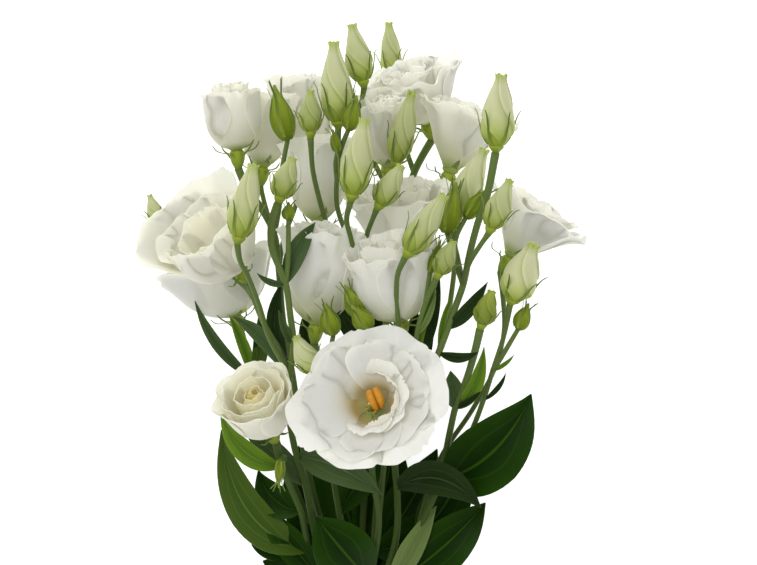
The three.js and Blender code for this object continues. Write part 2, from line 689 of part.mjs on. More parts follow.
// One band of twine round all the stems.
function tieSolid() {
  const [x, y, z] = TIE_CENTRE;
  const half = TIE_HALF_LENGTH - 1;
  const oval = (grow, depth) => Array.from({ length: TIE_SIDES }, (_, j) => {
    const turn = (FULL_TURN * j) / TIE_SIDES;
    return new THREE.Vector3(
      x + (TIE_INNER[0] + grow) * Math.cos(turn),
      y + depth,
      z + (TIE_INNER[1] + grow) * Math.sin(turn),
    );
  });
  const outer = loft([oval(TIE_DEPTH, -half), oval(TIE_DEPTH, half)]);
  const hole = loft([oval(0, -half - 1), oval(0, half + 1)]);
  return outer.subtract(hole);
}

// The bunch

const SLAB = 600;

// What would sink below the surface is pressed flat on it.
function onSurface(solid) {
  if (solid.boundingBox().min[2] >= 0) return solid;
  const corners = (z) => [[-SLAB, -SLAB], [SLAB, -SLAB], [SLAB, SLAB], [-SLAB, SLAB]]
    .map(([x, y]) => new THREE.Vector3(x, y, z));
  return solid.subtract(loft([corners(-SLAB), corners(0)]));
}

function largestBody(solid) {
  return solid.decompose().reduce((best, body) => (body.volume() > best.volume() ? body : best));
}

const bunch = new THREE.Group();

// The joins leave slivers along their seams, which are merged into the faces beside them.
function addPiece(name, solid, finish) {
  const body = largestBody(onSurface(solid)).asOriginal().simplify(SLIVER);
  const { vertProperties, triVerts } = body.getMesh();
  const geometry = new THREE.BufferGeometry();
  geometry.setAttribute("position", new THREE.BufferAttribute(vertProperties, 3));
  geometry.setIndex(new THREE.BufferAttribute(triVerts, 1));
  geometry.computeVertexNormals();
  const piece = new THREE.Mesh(geometry, new THREE.MeshStandardMaterial(finish));
  piece.name = name;
  bunch.add(piece);
}

for (const [name, bloom] of Object.entries(BLOOMS)) addPiece(`bloom_${name}`, bloomSolid(bloom), WHITE);
addPiece("pistil_front", pistilSolid(BLOOMS.front), GOLD);
for (const [name, bud] of Object.entries(BUDS)) addPiece(`bud_${name}`, budSolid(bud), CREAM);
for (const [name, stem] of Object.entries(STEMS)) addPiece(`stem_${name}`, stemSolid(stem), GREEN);
addPiece("tie", tieSolid(), TWINE);

// X is counted from between the two front stems in the lists above. The shift brings the
// middle of the whole bunch over the origin.
bunch.position.x = MIDDLE_SHIFT;

export default bunch;
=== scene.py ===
import math
import random

import bpy
import numpy as np
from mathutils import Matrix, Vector


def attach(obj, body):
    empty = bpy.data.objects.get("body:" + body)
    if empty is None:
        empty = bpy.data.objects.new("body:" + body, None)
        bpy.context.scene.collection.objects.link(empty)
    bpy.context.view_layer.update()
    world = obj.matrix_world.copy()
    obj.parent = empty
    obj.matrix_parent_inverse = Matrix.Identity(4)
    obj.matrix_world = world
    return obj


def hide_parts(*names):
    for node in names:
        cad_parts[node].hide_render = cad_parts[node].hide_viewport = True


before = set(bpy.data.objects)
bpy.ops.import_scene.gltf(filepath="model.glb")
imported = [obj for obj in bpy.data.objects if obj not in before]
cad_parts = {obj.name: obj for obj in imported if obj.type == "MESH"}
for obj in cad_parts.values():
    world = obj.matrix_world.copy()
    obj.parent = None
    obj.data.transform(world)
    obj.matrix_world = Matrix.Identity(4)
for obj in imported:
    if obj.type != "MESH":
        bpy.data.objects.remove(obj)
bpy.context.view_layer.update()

scene = bpy.context.scene


# Stalks
# Ten fresh-cut lisianthus stems lie side by side in the tie and fork into thinner branches.
# They are soft, round and grey-green, and each branch thins, and swells again under its calyx.

# Places and sizes are in millimetres. MIDDLE_SHIFT brings the bunch's middle over the origin.
MIDDLE_SHIFT = -0.75
TRUNK_RADIUS = 1.9
BRANCH_RADIUS = 1.4
STALK_SIDES = 12
STALK_STEP = 3
STALK_TAPER = (1.02, 0.84)
SWELL_DEPTH = 0.5
SWELL_START = 0.8
BLOOM_LEAD = -9
BUD_LEAD = -2.5
TIE_CENTRE = (-2.5, -113, 12.4)
TIE_HALF_LENGTH = 5
STEM_PITCH = 4.3
ROW_PITCH = STEM_PITCH * math.sin(math.radians(60))
END_SPREAD = 2.2
END_ROW_PITCH = 4.6
END_SEAT = 1.9

# The slot in the tie is counted in half pitches to the right and in rows up, and cut is the
# Y of the cut end. A branch names the bloom or bud that it carries, or None for a green bud.
STALKS = {
    "front": {
        "slot": (0, 1), "cut": -198, "carries": "front",
        "trunk": [(3, -84, 33), (8, -51, 56), (4.5, -25, 76), (6, -6, 90)],
        "branches": [
            ("middle_right", [(8, -51, 56), (10.8, -22, 70), (15, 10, 80), (19, 28, 85)]),
            ("behind_front", [(4.5, -25, 76), (-8, -8, 80), (-17, 8, 86)]),
            ("right_front",
             [(15, 10, 80), (18.5, 30, 93), (17.5, 48, 104), (16.5, 64, 116), (17.5, 73, 124)]),
            ("centre_large",
             [(15, 10, 80), (7, 35, 84), (-1, 70, 88), (-6, 90, 98), (-8, 99, 105)]),
            ("centre_small", [(-1, 70, 88), (1, 80, 84), (2, 91.5, 86), (4, 97, 92)]),
            (None, [(7, 35, 84), (2, 44, 92), (-0.5, 51.5, 98)]),
            (None, [(7, 35, 84), (5, 41, 95), (3.5, 45, 103)]),
        ],
    },
    "left": {
        "slot": (-2, 1), "cut": -195, "carries": "left_small",
        "trunk": [
            (-14.5, -88, 30), (-22.5, -67.5, 40), (-29, -35, 57), (-35, -12, 68), (-37.5, 8, 76),
            (-36.5, 21.5, 81), (-34.5, 36.5, 88), (-36, 52, 96), (-38, 67, 104), (-45, 88, 111),
            (-44.5, 98, 112),
        ],
        "branches": [
            ("left", [(-36.5, 21.5, 81), (-43, 36, 80), (-50.5, 49, 76), (-55, 60, 71)]),
            ("left_large",
             [(-36.5, 21.5, 81), (-47, 42, 94), (-51, 56, 104), (-56, 70, 116), (-60, 79, 126)]),
            ("left_hidden", [(-55, 60, 71), (-60, 66, 57), (-76, 78, 50), (-98, 87, 50)]),
            (None, [(-38, 67, 104), (-37, 76, 108), (-36.5, 99, 108)]),
        ],
    },
    "front_left": {
        "slot": (-3, 0), "cut": -190, "carries": "front_left",
        "trunk": [
            (-19, -88, 27), (-27.5, -68, 42), (-31.5, -47.5, 58), (-36, -36, 67), (-40.5, -24, 78),
        ],
        "branches": [(None, [(-40.5, -24, 78), (-39, -19, 84), (-41, -20, 88)])],
    },
    "right": {
        "slot": (2, 1), "cut": -193, "carries": "right_tall",
        "trunk": [
            (9, -88, 28), (16.5, -63.5, 38), (17, -36, 52), (16, -23.5, 58), (24, 5, 76),
            (37.5, 33, 96), (46, 56.5, 102), (49.5, 66.5, 103), (52.5, 81, 104),
            (56.5, 96.5, 106), (61, 110, 108),
        ],
        "branches": [
            ("right_upper", [(49.5, 66.5, 103), (52, 76.5, 109), (57, 85, 115)]),
            ("right_inner", [(49.5, 66.5, 103), (47, 80, 92), (45, 91, 85)]),
            ("top_right", [(37.5, 33, 96), (44, 60, 70), (46, 85, 54), (43, 103, 48)]),
            ("right_cluster",
             [(24, 5, 76), (26, 25, 92), (26.5, 41.5, 104), (31, 58, 113)]),
            (None, [(49.5, 66.5, 103), (45, 80, 102), (41.5, 92.5, 100)]),
            (None, [(45, 80, 102), (46, 90, 102), (51, 100, 101)]),
            (None, [(31, 58, 113), (33, 73, 115)]),
        ],
    },
    "back_left": {
        "slot": (-1, 0), "cut": -199, "carries": "top_left",
        "trunk": [
            (-9, -90, 18), (-20, -60, 24), (-30, -20, 30), (-36, 20, 34), (-41, 50, 38),
            (-43, 75, 42), (-45, 92, 47), (-52, 106, 54), (-59, 116, 61),
        ],
        "branches": [
            ("back_left", [(-45, 92, 47), (-49, 104, 45)]),
            ("back", [(-43, 75, 42), (-40, 92, 34), (-35, 106, 26)]),
            (None, [(-45, 92, 47), (-42, 108, 58), (-41, 122, 68), (-37.5, 140, 76)]),
        ],
    },
    "middle": {
        "slot": (1, 0), "cut": -202, "carries": "middle_left",
        "trunk": [(-5, -84, 23), (-12, -50, 38), (-18, -10, 54), (-22, 20, 64)],
        "branches": [
            ("inner", [(-22, 20, 64), (-26, 45, 60), (-25, 68, 55)]),
            ("top_stalked",
             [(-25, 68, 55), (-19, 84, 58), (-18.5, 96, 63), (-21.5, 108, 74), (-25, 124, 83)]),
            (None, [(-22, 20, 64), (-17, 30, 84), (-14.5, 42.5, 94)]),
        ],
    },
    "far_right": {
        "slot": (3, 0), "cut": -191, "carries": "right_low",
        "trunk": [
            (14, -88, 26), (26, -62, 42), (38.5, -32, 58), (43.5, -7, 72), (46, 5, 80),
            (52, 21.5, 91), (55.5, 34, 98),
        ],
        "branches": [
            ("right_broad",
             [(38.5, -32, 58), (51, -13.5, 70), (60, 9, 82), (64.5, 24, 89), (70, 42, 95)]),
            ("far_right",
             [(26, -62, 42), (40, -20, 44), (56, 4, 40), (67, 24, 34), (72, 44, 28), (71.5, 60, 25)]),
            (None, [(64.5, 24, 89), (70, 33, 94), (77, 45, 97)]),
        ],
    },
    "lower_left": {
        "slot": (-2, -1), "cut": -196, "carries": "lower_left",
        "trunk": [(-11, -92, 10.5), (-28, -55, 13), (-44, -15, 18), (-56, 18, 22)],
        "branches": [],
    },
    "top": {
        "slot": (0, -1), "cut": -201, "carries": "top",
        "trunk": [
            (-1, -70, 13), (4, 0, 18), (14, 60, 20), (21, 100, 20), (26, 124, 20), (31, 134, 22),
        ],
        "branches": [
            ("top_middle", [(21, 100, 20), (17, 109, 31)]),
            ("centre_high", [(21, 100, 20), (22, 112, 34), (19, 119, 50)]),
            ("top_back", [(26, 124, 20), (20, 142, 12), (16, 160, 7)]),
            ("top_high", [(17, 109, 31), (8, 124, 34), (0, 142, 46), (-1, 154, 58)]),
            ("top_large",
             [(14, 60, 20), (0, 80, 36), (-9, 94, 52), (-13, 106, 64), (-12.5, 130, 77)]),
            (None, [(-12.5, 130, 77), (-10, 137, 85), (-7, 144, 90)]),
            (None, [(-13, 120, 71), (-13.5, 128, 80), (-12.5, 133, 86)]),
        ],
    },
    "centre": {
        "slot": (2, -1), "cut": -194, "carries": "centre",
        "trunk": [(5, -70, 18), (9, -20, 27), (15, 25, 38), (20, 50, 47)],
        "branches": [],
    },
}

# base is the foot of the petals, mouth a point up the axis, and size the length of a petal.
# spread opens the petals, flat presses them together front to back, and taper rounds them off.
# warm is their cream, throat how far up its colour climbs, frill how crimped the edges are, and
# the last value how green their backs are: partly their own green, and partly painted shade that
# is stronger on the blooms that lie in shade. What a bloom leaves out is as usual.
USUAL_BLOOM = dict(spread=1, flat=0.9, taper=0.1, throat=0.5)
BLOOMS = {
    "front": dict(form="open", base=(7, 4, 106), mouth=(3, 13, 129), size=43, turn=20, seed=11,
                  flat=1, warm=0.1, taper=0.2, throat=0.74, frill=0.15, leafy=0.35),
    "front_left": dict(form="rosette", base=(-46, -5.5, 90), mouth=(-56.5, 19, 114), size=34.5,
                       turn=30, seed=23, flat=1, warm=1, taper=0.14, throat=0.9, frill=0.3,
                       leafy=0.3),
    "left": dict(form="wide", base=(-62.5, 74, 75), mouth=(-82, 97, 95), size=48, turn=50,
                 seed=37, flat=0.95, warm=0.5, taper=0.14, throat=0.6, frill=0.5, leafy=0.2),
    "lower_left": dict(form="bowl", base=(-65.5, 50, 22.4), mouth=(-75, 78, 23.4), size=46,
                       turn=12, seed=41, spread=1.06, flat=0.75, warm=0.1, taper=0.12, frill=0.4,
                       leafy=0.2),
    "middle_left": dict(form="goblet", base=(-23.5, 46.5, 78), mouth=(-19.5, 89, 84), size=54,
                        turn=70, seed=53, spread=0.75, flat=0.85, warm=0.1, frill=1.6, leafy=1),
    "middle_right": dict(form="goblet", base=(18.5, 49, 92), mouth=(13, 84, 106), size=48,
                         turn=40, seed=67, flat=0.8, warm=0.15, frill=1.5, leafy=1),
    "centre": dict(form="bowl", base=(22, 75, 56), mouth=(18, 105, 66), size=48, turn=90,
                   seed=71, spread=0.72, flat=0.8, warm=0.2, frill=1.5, leafy=0.9),
    "far_right": dict(form="funnel", base=(75, 80.5, 23.4), mouth=(92, 107, 25.4), size=40,
                      turn=25, seed=83, flat=0.85, warm=0.1, taper=0.12, frill=0.9, leafy=0.7),
    "top_right": dict(form="funnel", base=(43.5, 123, 52), mouth=(54, 156.5, 56), size=41,
                      turn=33, seed=97, spread=0.8, flat=0.85, warm=0.3, frill=1.1, leafy=0.9),
    "top": dict(form="bowl", base=(32.5, 149, 28), mouth=(24, 172.5, 38), size=38, turn=64,
                seed=101, spread=0.95, flat=0.85, warm=0.15, frill=1.6, leafy=0.6),
    "top_middle": dict(form="goblet", base=(12.5, 127, 46), mouth=(9.5, 160, 62), size=40,
                       turn=45, seed=113, spread=0.6, warm=0.3, frill=1.3, leafy=0.7),
    "top_left": dict(form="barrel", base=(-63.5, 134, 68), mouth=(-66.5, 165, 71), size=35,
                     turn=75, seed=127, warm=0.4, frill=1.1, leafy=0.5),
    "back_left": dict(form="goblet", base=(-51.5, 126, 44), mouth=(-48.5, 160, 42), size=40,
                      turn=15, seed=131, spread=0.7, warm=0.35, frill=1.2, leafy=0.5),
    "back": dict(form="goblet", base=(-31.5, 129, 22), mouth=(-31.5, 166, 22), size=48, turn=52,
                 seed=149, spread=0.7, warm=0.2, frill=1.4, leafy=0.4),
    "inner": dict(form="goblet", base=(-22.5, 98, 54), mouth=(-23.5, 134, 56), size=46, turn=27,
                  seed=151, spread=0.7, flat=0.85, warm=0.3, frill=1.2, leafy=0.8),
}
BLOOMS = {name: {**USUAL_BLOOM, **bloom} for name, bloom in BLOOMS.items()}

# pale is how far a bud has turned from lime to cream.
BUDS = {
    "top_back": dict(base=(15, 173, 5.6), tip=(13, 202, 5.6), width=11, pale=0.6),
    "top_high": dict(base=(0, 168, 70), tip=(-5.5, 197, 72), width=13.5, pale=0.7),
    "top_large": dict(base=(-12.5, 147, 80), tip=(-14.5, 187.5, 84), width=16, pale=0.8),
    "top_stalked": dict(base=(-26, 142, 92), tip=(-26, 163, 95), width=11.5, pale=0.35),
    "centre_large": dict(base=(-5.5, 110, 112), tip=(1, 148, 116), width=15.5, pale=0.75),
    "centre_high": dict(base=(16.5, 128, 66), tip=(24.5, 162.5, 84), width=13, pale=0.6),
    "centre_small": dict(base=(8, 106, 98), tip=(19, 125.5, 102), width=12.5, pale=0.65),
    "left_large": dict(base=(-60.5, 89, 132), tip=(-53, 125, 136), width=15, pale=0.75),
    "left_small": dict(base=(-41, 109, 112), tip=(-34.5, 129, 112), width=12.5, pale=0.5),
    "left_hidden": dict(base=(-103, 96.5, 54), tip=(-108, 112, 52), width=8.5, pale=0.7),
    "right_tall": dict(base=(65.5, 134, 110), tip=(68, 170, 114), width=16.5, pale=0.9),
    "right_inner": dict(base=(46, 100, 84), tip=(60.5, 134, 88), width=15, pale=0.9),
    "right_upper": dict(base=(62.5, 94, 118), tip=(72, 118, 123), width=12.5, pale=0.6),
    "right_front": dict(base=(22, 82, 128), tip=(40, 110.5, 130), width=13.5, pale=0.65),
    "right_cluster": dict(base=(37, 72, 120), tip=(44.5, 88, 124), width=10.5, pale=0.35),
    "right_broad": dict(base=(73.5, 59, 102), tip=(84, 86.5, 112), width=18, pale=0.95),
    "right_low": dict(base=(58.5, 47, 106), tip=(63.5, 63.5, 110), width=11.5, pale=0),
    "behind_front": dict(base=(-24, 23, 96), tip=(-33, 41, 102), width=12.5, pale=0.8),
}

# Where the rings of a tube start, in any direction that none of the stalks runs in.
FIRST_SIDE = (0.31, 0.2, 0.93)
SKIN_FINISHES = {}


def unit(vector):
    return vector / np.linalg.norm(vector)


def stand_at(base, towards):
    """The axes of a flower: its foot, to its right, to the side that faces up, and its axis."""
    origin = np.array(base, float)
    up = unit(np.array(towards, float) - origin)
    front = unit(np.array((0.0, 0.0, 1.0)) - up * up[2])
    return origin, np.cross(up, front), front, up


def head_stand(head):
    """The axes of a bloom or a bud."""
    return stand_at(head["base"], head.get("mouth") or head["tip"])


def in_flower(stand, x, y, height):
    origin, right, front, up = stand
    return (origin + np.multiply.outer(x, right) + np.multiply.outer(y, front)
            + np.multiply.outer(height, up))


def smooth_route(points, step):
    """A smooth line through points, with about step between the points of the line."""
    points = np.array(points, float)
    knots = np.concatenate([[0], np.cumsum(np.linalg.norm(np.diff(points, axis=0), axis=1))])
    slopes = np.gradient(points, knots, axis=0)
    count = max(2, round(knots[-1] / step))
    reach = np.linspace(0, knots[-1], count + 1)
    k = np.clip(np.searchsorted(knots, reach, side="right") - 1, 0, len(points) - 2)
    span = (knots[k + 1] - knots[k])[:, None]
    u = ((reach - knots[k]) / (knots[k + 1] - knots[k]))[:, None]
    return ((2 * u**3 - 3 * u**2 + 1) * points[k] + (u**3 - 2 * u**2 + u) * span * slopes[k]
            + (3 * u**2 - 2 * u**3) * points[k + 1] + (u**3 - u**2) * span * slopes[k + 1])


class Skin:
    """Gathers the closed sheets and tubes of one piece, and what its materials read.

    along runs from root to tip and across from side to side. tone is the warmth of a petal, how
    pale a bud is, and elsewhere just differs from sheet to sheet. inside is how far up the
    throat's colour climbs on the inner face of a petal, and 0 elsewhere. The last mark is how
    green the back of a petal is: partly its own green, and partly painted shade.
    """

    def __init__(self):
        self.points, self.faces, self.finishes, self.rims = [], [], [], []
        self.marks = {"along": [], "across": [], "tone": [], "inside": [], "leafy": []}
        self.count = 0

    def add(self, points, faces, along, across, tone, finish, rim=None, inside=0, leafy=0.0):
        corners = points[[face[:3] for face in faces]]
        volume = np.einsum("ij,ij->", corners[:, 0], np.cross(corners[:, 1], corners[:, 2]))
        if volume < 0:
            faces = [face[::-1] for face in faces]
        self.points.append(points)
        self.faces += [[i + self.count for i in face] for face in faces]
        self.finishes += [finish] * len(faces)
        self.marks["along"].append(along)
        self.marks["across"].append(across)
        self.marks["tone"].append(np.full(len(points), tone))
        self.marks["inside"].append(np.zeros(len(points)) + inside)
        self.marks["leafy"].append(np.full(len(points), leafy))
        self.rims.append(np.zeros(len(points), bool) if rim is None else rim)
        self.count += len(points)

    def blade(self, grid, thickness, tone=0.0, finish=0, inside=0.0, leafy=0.0, places=None):
        """A thin sheet on a grid of points, with rows from root to tip.

        Where it would dip under the surface that the bunch lies on, it lies along it.
        """
        rows, columns = grid.shape[:2]
        grid[..., 2] = np.maximum(grid[..., 2], thickness)
        normal = np.cross(np.gradient(grid, axis=0), np.gradient(grid, axis=1))
        normal /= np.linalg.norm(normal, axis=2, keepdims=True) + 1e-9
        upper = (grid + normal * thickness / 2).reshape(-1, 3)
        lower = (grid - normal * thickness / 2).reshape(-1, 3)
        index = np.arange(rows * columns).reshape(rows, columns)
        a, b, c, d = index[:-1, :-1], index[1:, :-1], index[1:, 1:], index[:-1, 1:]
        top = np.stack([a, b, c, d], axis=-1).reshape(-1, 4)
        size = rows * columns
        loop = np.concatenate([index[:-1, 0], index[-1, :-1], index[:0:-1, -1], index[0, :0:-1]])
        following = np.roll(loop, -1)
        rim_faces = np.stack([following, loop, loop + size, following + size], axis=-1)
        faces = np.concatenate([top, top[:, ::-1] + size, rim_faces]).tolist()
        along = np.repeat(np.linspace(0, 1, rows) if places is None else places, columns)
        across = np.tile(np.linspace(-1, 1, columns), rows)
        rim = np.zeros(2 * size, bool)
        rim[loop] = rim[loop + size] = True
        self.add(np.concatenate([upper, lower]), faces, np.tile(along, 2), np.tile(across, 2),
                 tone, finish, rim, np.repeat([0, inside], size), leafy)

    def rings(self, rings, across=None, tone=0.0, finish=0, along=None):
        """A closed skin over rings of points, with flat ends."""
        rows, sides = rings.shape[:2]
        index = np.arange(rows * sides).reshape(rows, sides)
        beside = np.roll(index, -1, axis=1)
        walls = np.stack([index[:-1], beside[:-1], beside[1:], index[1:]], axis=-1)
        faces = walls.reshape(-1, 4).tolist()
        faces += [index[0, ::-1].tolist(), index[-1].tolist()]
        if across is None:
            across = np.abs(np.linspace(-1, 1, sides, endpoint=False))
        if along is None:
            along = np.linspace(0, 1, rows)
        self.add(rings.reshape(-1, 3), faces, np.repeat(along, sides), np.tile(across, rows),
                 tone, finish)

    def tube(self, route, radii, sides, tone=0.0, finish=0):
        """A round stalk along a route, with the radius at each of its points."""
        tangents = np.gradient(route, axis=0)
        tangents /= np.linalg.norm(tangents, axis=1, keepdims=True)
        turn = np.linspace(0, 2 * math.pi, sides, endpoint=False)
        side = np.array(FIRST_SIDE)
        rings = []
        for centre, tangent, radius in zip(route, tangents, radii):
            side = unit(side - tangent * side.dot(tangent))
            other = np.cross(tangent, side)
            rings.append(centre + radius * (np.outer(np.cos(turn), side)
                                            + np.outer(np.sin(turn), other)))
        self.rings(np.array(rings), tone=tone, finish=finish)

    def piece(self, name, finishes, node):
        """The skin as one object that rides on the bunch and stands for one of its nodes."""
        points = (np.concatenate(self.points) + (MIDDLE_SHIFT, 0, 0)) / 1000
        mesh = bpy.data.meshes.new(name)
        mesh.from_pydata(points.tolist(), [], self.faces)
        for mark, values in self.marks.items():
            layer = mesh.attributes.new(mark, "FLOAT", "POINT")
            layer.data.foreach_set("value", np.concatenate(values).astype(np.float32))
        mesh.polygons.foreach_set("use_smooth", [True] * len(mesh.polygons))
        mesh.polygons.foreach_set("material_index", self.finishes)
        rim = np.concatenate(self.rims)
        ends = np.empty(2 * len(mesh.edges), np.int32)
        mesh.edges.foreach_get("vertices", ends)
        sharp = mesh.attributes.new("sharp_edge", "BOOLEAN", "EDGE")
        sharp.data.foreach_set("value", rim[ends.reshape(-1, 2)].all(axis=1))
        for finish in finishes:
            mesh.materials.append(SKIN_FINISHES[finish])
        made = bpy.data.objects.new(name, mesh)
        scene.collection.objects.link(made)
        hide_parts(node)
        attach(made, "root")


def put_node(tree, kind, inputs=None, **settings):
    """One shader node, with its settings made and its inputs set to values or linked."""
    made = tree.nodes.new("ShaderNode" + kind)
    for name, value in settings.items():
        setattr(made, name, value)
    for name, value in (inputs or {}).items():
        if isinstance(value, bpy.types.NodeSocket):
            tree.links.new(value, made.inputs[name])
        else:
            made.inputs[name].default_value = value
    return made


def put_mark(tree, name):
    return put_node(tree, "Attribute", attribute_name=name).outputs["Fac"]


def put_mix(tree, factor, first, second, blend="MIX"):
    """Two colours mixed, each of them another node's colour or three numbers."""
    first, second = [(*side, 1) if isinstance(side, tuple) else side for side in (first, second)]
    made = put_node(tree, "Mix", {0: factor, 6: first, 7: second}, data_type="RGBA",
                    blend_type=blend)
    return made.outputs[2]


def put_math(tree, operation, first, second=0.5, clamp=False):
    return put_node(tree, "Math", {0: first, 1: second}, operation=operation,
                    use_clamp=clamp).outputs[0]


def times(tree, first, second):
    return put_math(tree, "MULTIPLY", first, second)


def put_fade(tree, value, start, end, top=1.0):
    """Smoothly from top, where value is at start or less, to nothing at end."""
    return put_node(tree, "MapRange", {"Value": value, "From Min": start, "From Max": end,
                                       "To Min": top, "To Max": 0.0},
                    interpolation_type="SMOOTHSTEP").outputs[0]


def new_group(name, inputs, outputs):
    """An empty shader group with named inputs and outputs, and its two end nodes."""
    group = bpy.data.node_groups.new(name, "ShaderNodeTree")
    for socket, kind, value in inputs:
        made = group.interface.new_socket(socket, in_out="INPUT", socket_type=kind)
        made.default_value = value
    for socket, kind in outputs:
        group.interface.new_socket(socket, in_out="OUTPUT", socket_type=kind)
    return group, group.nodes.new("NodeGroupInput").outputs, group.nodes.new("NodeGroupOutput")


def new_finish(name, **surface):
    """A material with one Principled shader, whose plain values are set on its sockets."""
    finish = bpy.data.materials.new(name)
    finish.use_nodes = True
    tree = finish.node_tree
    shader = tree.nodes["Principled BSDF"]
    for socket, value in surface.items():
        shader.inputs[socket.replace("_", " ").title().replace("Ior", "IOR")].default_value = value
    SKIN_FINISHES[name] = finish
    return tree, shader


# Plant fibre: fine streaks that run from root to tip, and a cloudy mottle, for every finish.
fibre, fibre_in, fibre_out = new_group(
    "plant_fibre",
    [("Streaks", "NodeSocketFloat", 30), ("Length", "NodeSocketFloat", 2),
     ("Cloud Size", "NodeSocketFloat", 60)],
    [("Streak", "NodeSocketFloat"), ("Cloud", "NodeSocketFloat"), ("Height", "NodeSocketFloat")],
)
fibre_place = put_node(fibre, "CombineXYZ", {
    "X": times(fibre, put_mark(fibre, "across"), fibre_in["Streaks"]),
    "Y": times(fibre, put_mark(fibre, "along"), fibre_in["Length"]),
    "Z": times(fibre, put_mark(fibre, "tone"), 7.3),
}).outputs[0]
fibre_streak = put_node(fibre, "TexNoise", {
    "Vector": fibre_place, "Scale": 1.0, "Detail": 3.0}).outputs[0]
fibre_cloud = put_node(fibre, "TexNoise", {
    "Vector": put_node(fibre, "TexCoord").outputs["Object"], "Scale": fibre_in["Cloud Size"],
    "Detail": 4.0}).outputs[0]
fibre.links.new(fibre_streak, fibre_out.inputs["Streak"])
fibre.links.new(fibre_cloud, fibre_out.inputs["Cloud"])
fibre.links.new(put_math(fibre, "ADD", fibre_streak, times(fibre, fibre_cloud, 0.6)),
                fibre_out.inputs["Height"])


def put_fibre(tree, streaks, length, cloud_size):
    made = put_node(tree, "Group", node_tree=fibre)
    made.inputs["Streaks"].default_value = streaks
    made.inputs["Length"].default_value = length
    made.inputs["Cloud Size"].default_value = cloud_size
    return made.outputs


def paint(tree, shader, colour, height, relief, strength=1.0):
    """Gives a finish its colour, and its height as a bump with its relief in metres."""
    tree.links.new(colour, shader.inputs["Base Color"])
    bump = put_node(tree, "Bump", {"Height": height, "Distance": relief, "Strength": strength})
    tree.links.new(bump.outputs[0], shader.inputs["Normal"])


# The stalks are painted darker towards the cut ends, as painted shade where the leaves shade them.
tree, shader = new_finish("stalk_green", roughness=0.5, specular_ior_level=0.15)
grain = put_fibre(tree, 5, 4, 60)
stalk_colour = put_mix(tree, grain["Streak"], (0.075, 0.125, 0.025), (0.18, 0.235, 0.075))
stalk_colour = put_mix(tree, grain["Cloud"], stalk_colour, (0.105, 0.16, 0.035))
along_bunch = put_node(tree, "SeparateXYZ", {
    "Vector": put_node(tree, "TexCoord").outputs["Object"]}).outputs["Y"]
painted_stalk_shade = put_fade(tree, along_bunch, -0.045, 0.04, top=0.8)
stalk_colour = put_mix(tree, painted_stalk_shade, stalk_colour, (0.035, 0.07, 0.008))
paint(tree, shader, stalk_colour, grain["Height"], 0.00025)


def lower_stem(slot, cut):
    x, y, z = TIE_CENTRE
    across = slot[0] * STEM_PITCH / 2
    seat = (x + across, z + slot[1] * ROW_PITCH)
    return [
        (x + across * END_SPREAD, cut, END_SEAT + (slot[1] + 1) * END_ROW_PITCH),
        (seat[0], y - TIE_HALF_LENGTH, seat[1]),
        (seat[0], y + TIE_HALF_LENGTH, seat[1]),
    ]


def grow_stalk(skin, route, radius, carried):
    """A stretch of stem up to the foot of its calyx, with the calyx cup at its end."""
    head = BLOOMS.get(carried) or BUDS.get(carried)
    route = list(route)
    if head:
        lead = BLOOM_LEAD if "mouth" in head else BUD_LEAD
        route.append(tuple(in_flower(head_stand(head), 0.0, 0.0, lead)))
    line = smooth_route(route, STALK_STEP)
    share = np.linspace(0, 1, len(line))
    taper = radius * np.interp(share, (0, 1), STALK_TAPER)
    if head:
        taper = taper + SWELL_DEPTH * np.clip((share - SWELL_START) / (1 - SWELL_START), 0, 1) ** 2
    skin.tube(line, taper, STALK_SIDES, tone=random.random())
    if head:
        grow_calyx(skin, head)


# Calyxes and sepals
# Under each bloom and bud is a short green cup with five thin pointed sepals, which hug the
# swelling of a bud and curl away at their dark tips. Small unripe buds are all green.

SEPALS = 5
SEPAL_WIDTH = 1.7
SEPAL_THICKNESS = 0.35
SEPAL_TURN = 0.72
SEPAL_COLUMNS = 5
CALYX_LOBE_DEPTH = 0.05

# The heights and radii of the cup under a bloom, and the radius where a bud's cup opens.
BLOOM_CALYX = [(-10.2, 1.3), (-9, 1.75), (-7.6, 2.5), (-6, 3.2), (-4, 3.7), (-2, 3.8),
               (-0.6, 3.6), (0.4, 2.6)]
BUD_NECK = 1.9

# The outline of a bud, which its sepals hug: shares of its length and of its width.
BUD_SHARES = [0, 0.05, 0.12, 0.2, 0.3, 0.42, 0.52, 0.64, 0.74, 0.85, 0.94, 1]
BUD_RADII = [0.14, 0.26, 0.37, 0.46, 0.5, 0.487, 0.45, 0.383, 0.315, 0.225, 0.165, 0.19]


def put_ramp(tree, factor, stops):
    ramp = put_node(tree, "ValToRGB", {"Fac": factor})
    elements = ramp.color_ramp.elements
    for place, _ in stops[1:-1]:
        elements.new(place)
    for element, (place, colour) in zip(elements, stops):
        element.position = place
        element.color = (*colour, 1)
    return ramp.outputs["Color"]


def bud_radius(bud, share):
    return bud["width"] * np.interp(share, BUD_SHARES, BUD_RADII)


tree, shader = new_finish("calyx_green", roughness=0.5, specular_ior_level=0.2)
grain = put_fibre(tree, 6, 6, 120)
fresh = put_ramp(tree, put_mark(tree, "along"), [
    (0, (0.10, 0.15, 0.03)), (0.5, (0.27, 0.35, 0.03)), (1, (0.42, 0.49, 0.045)),
])
fresh = put_mix(tree, times(tree, grain["Streak"], 0.5), fresh, (0.15, 0.22, 0.015))
paint(tree, shader, fresh, grain["Height"], 0.0003)

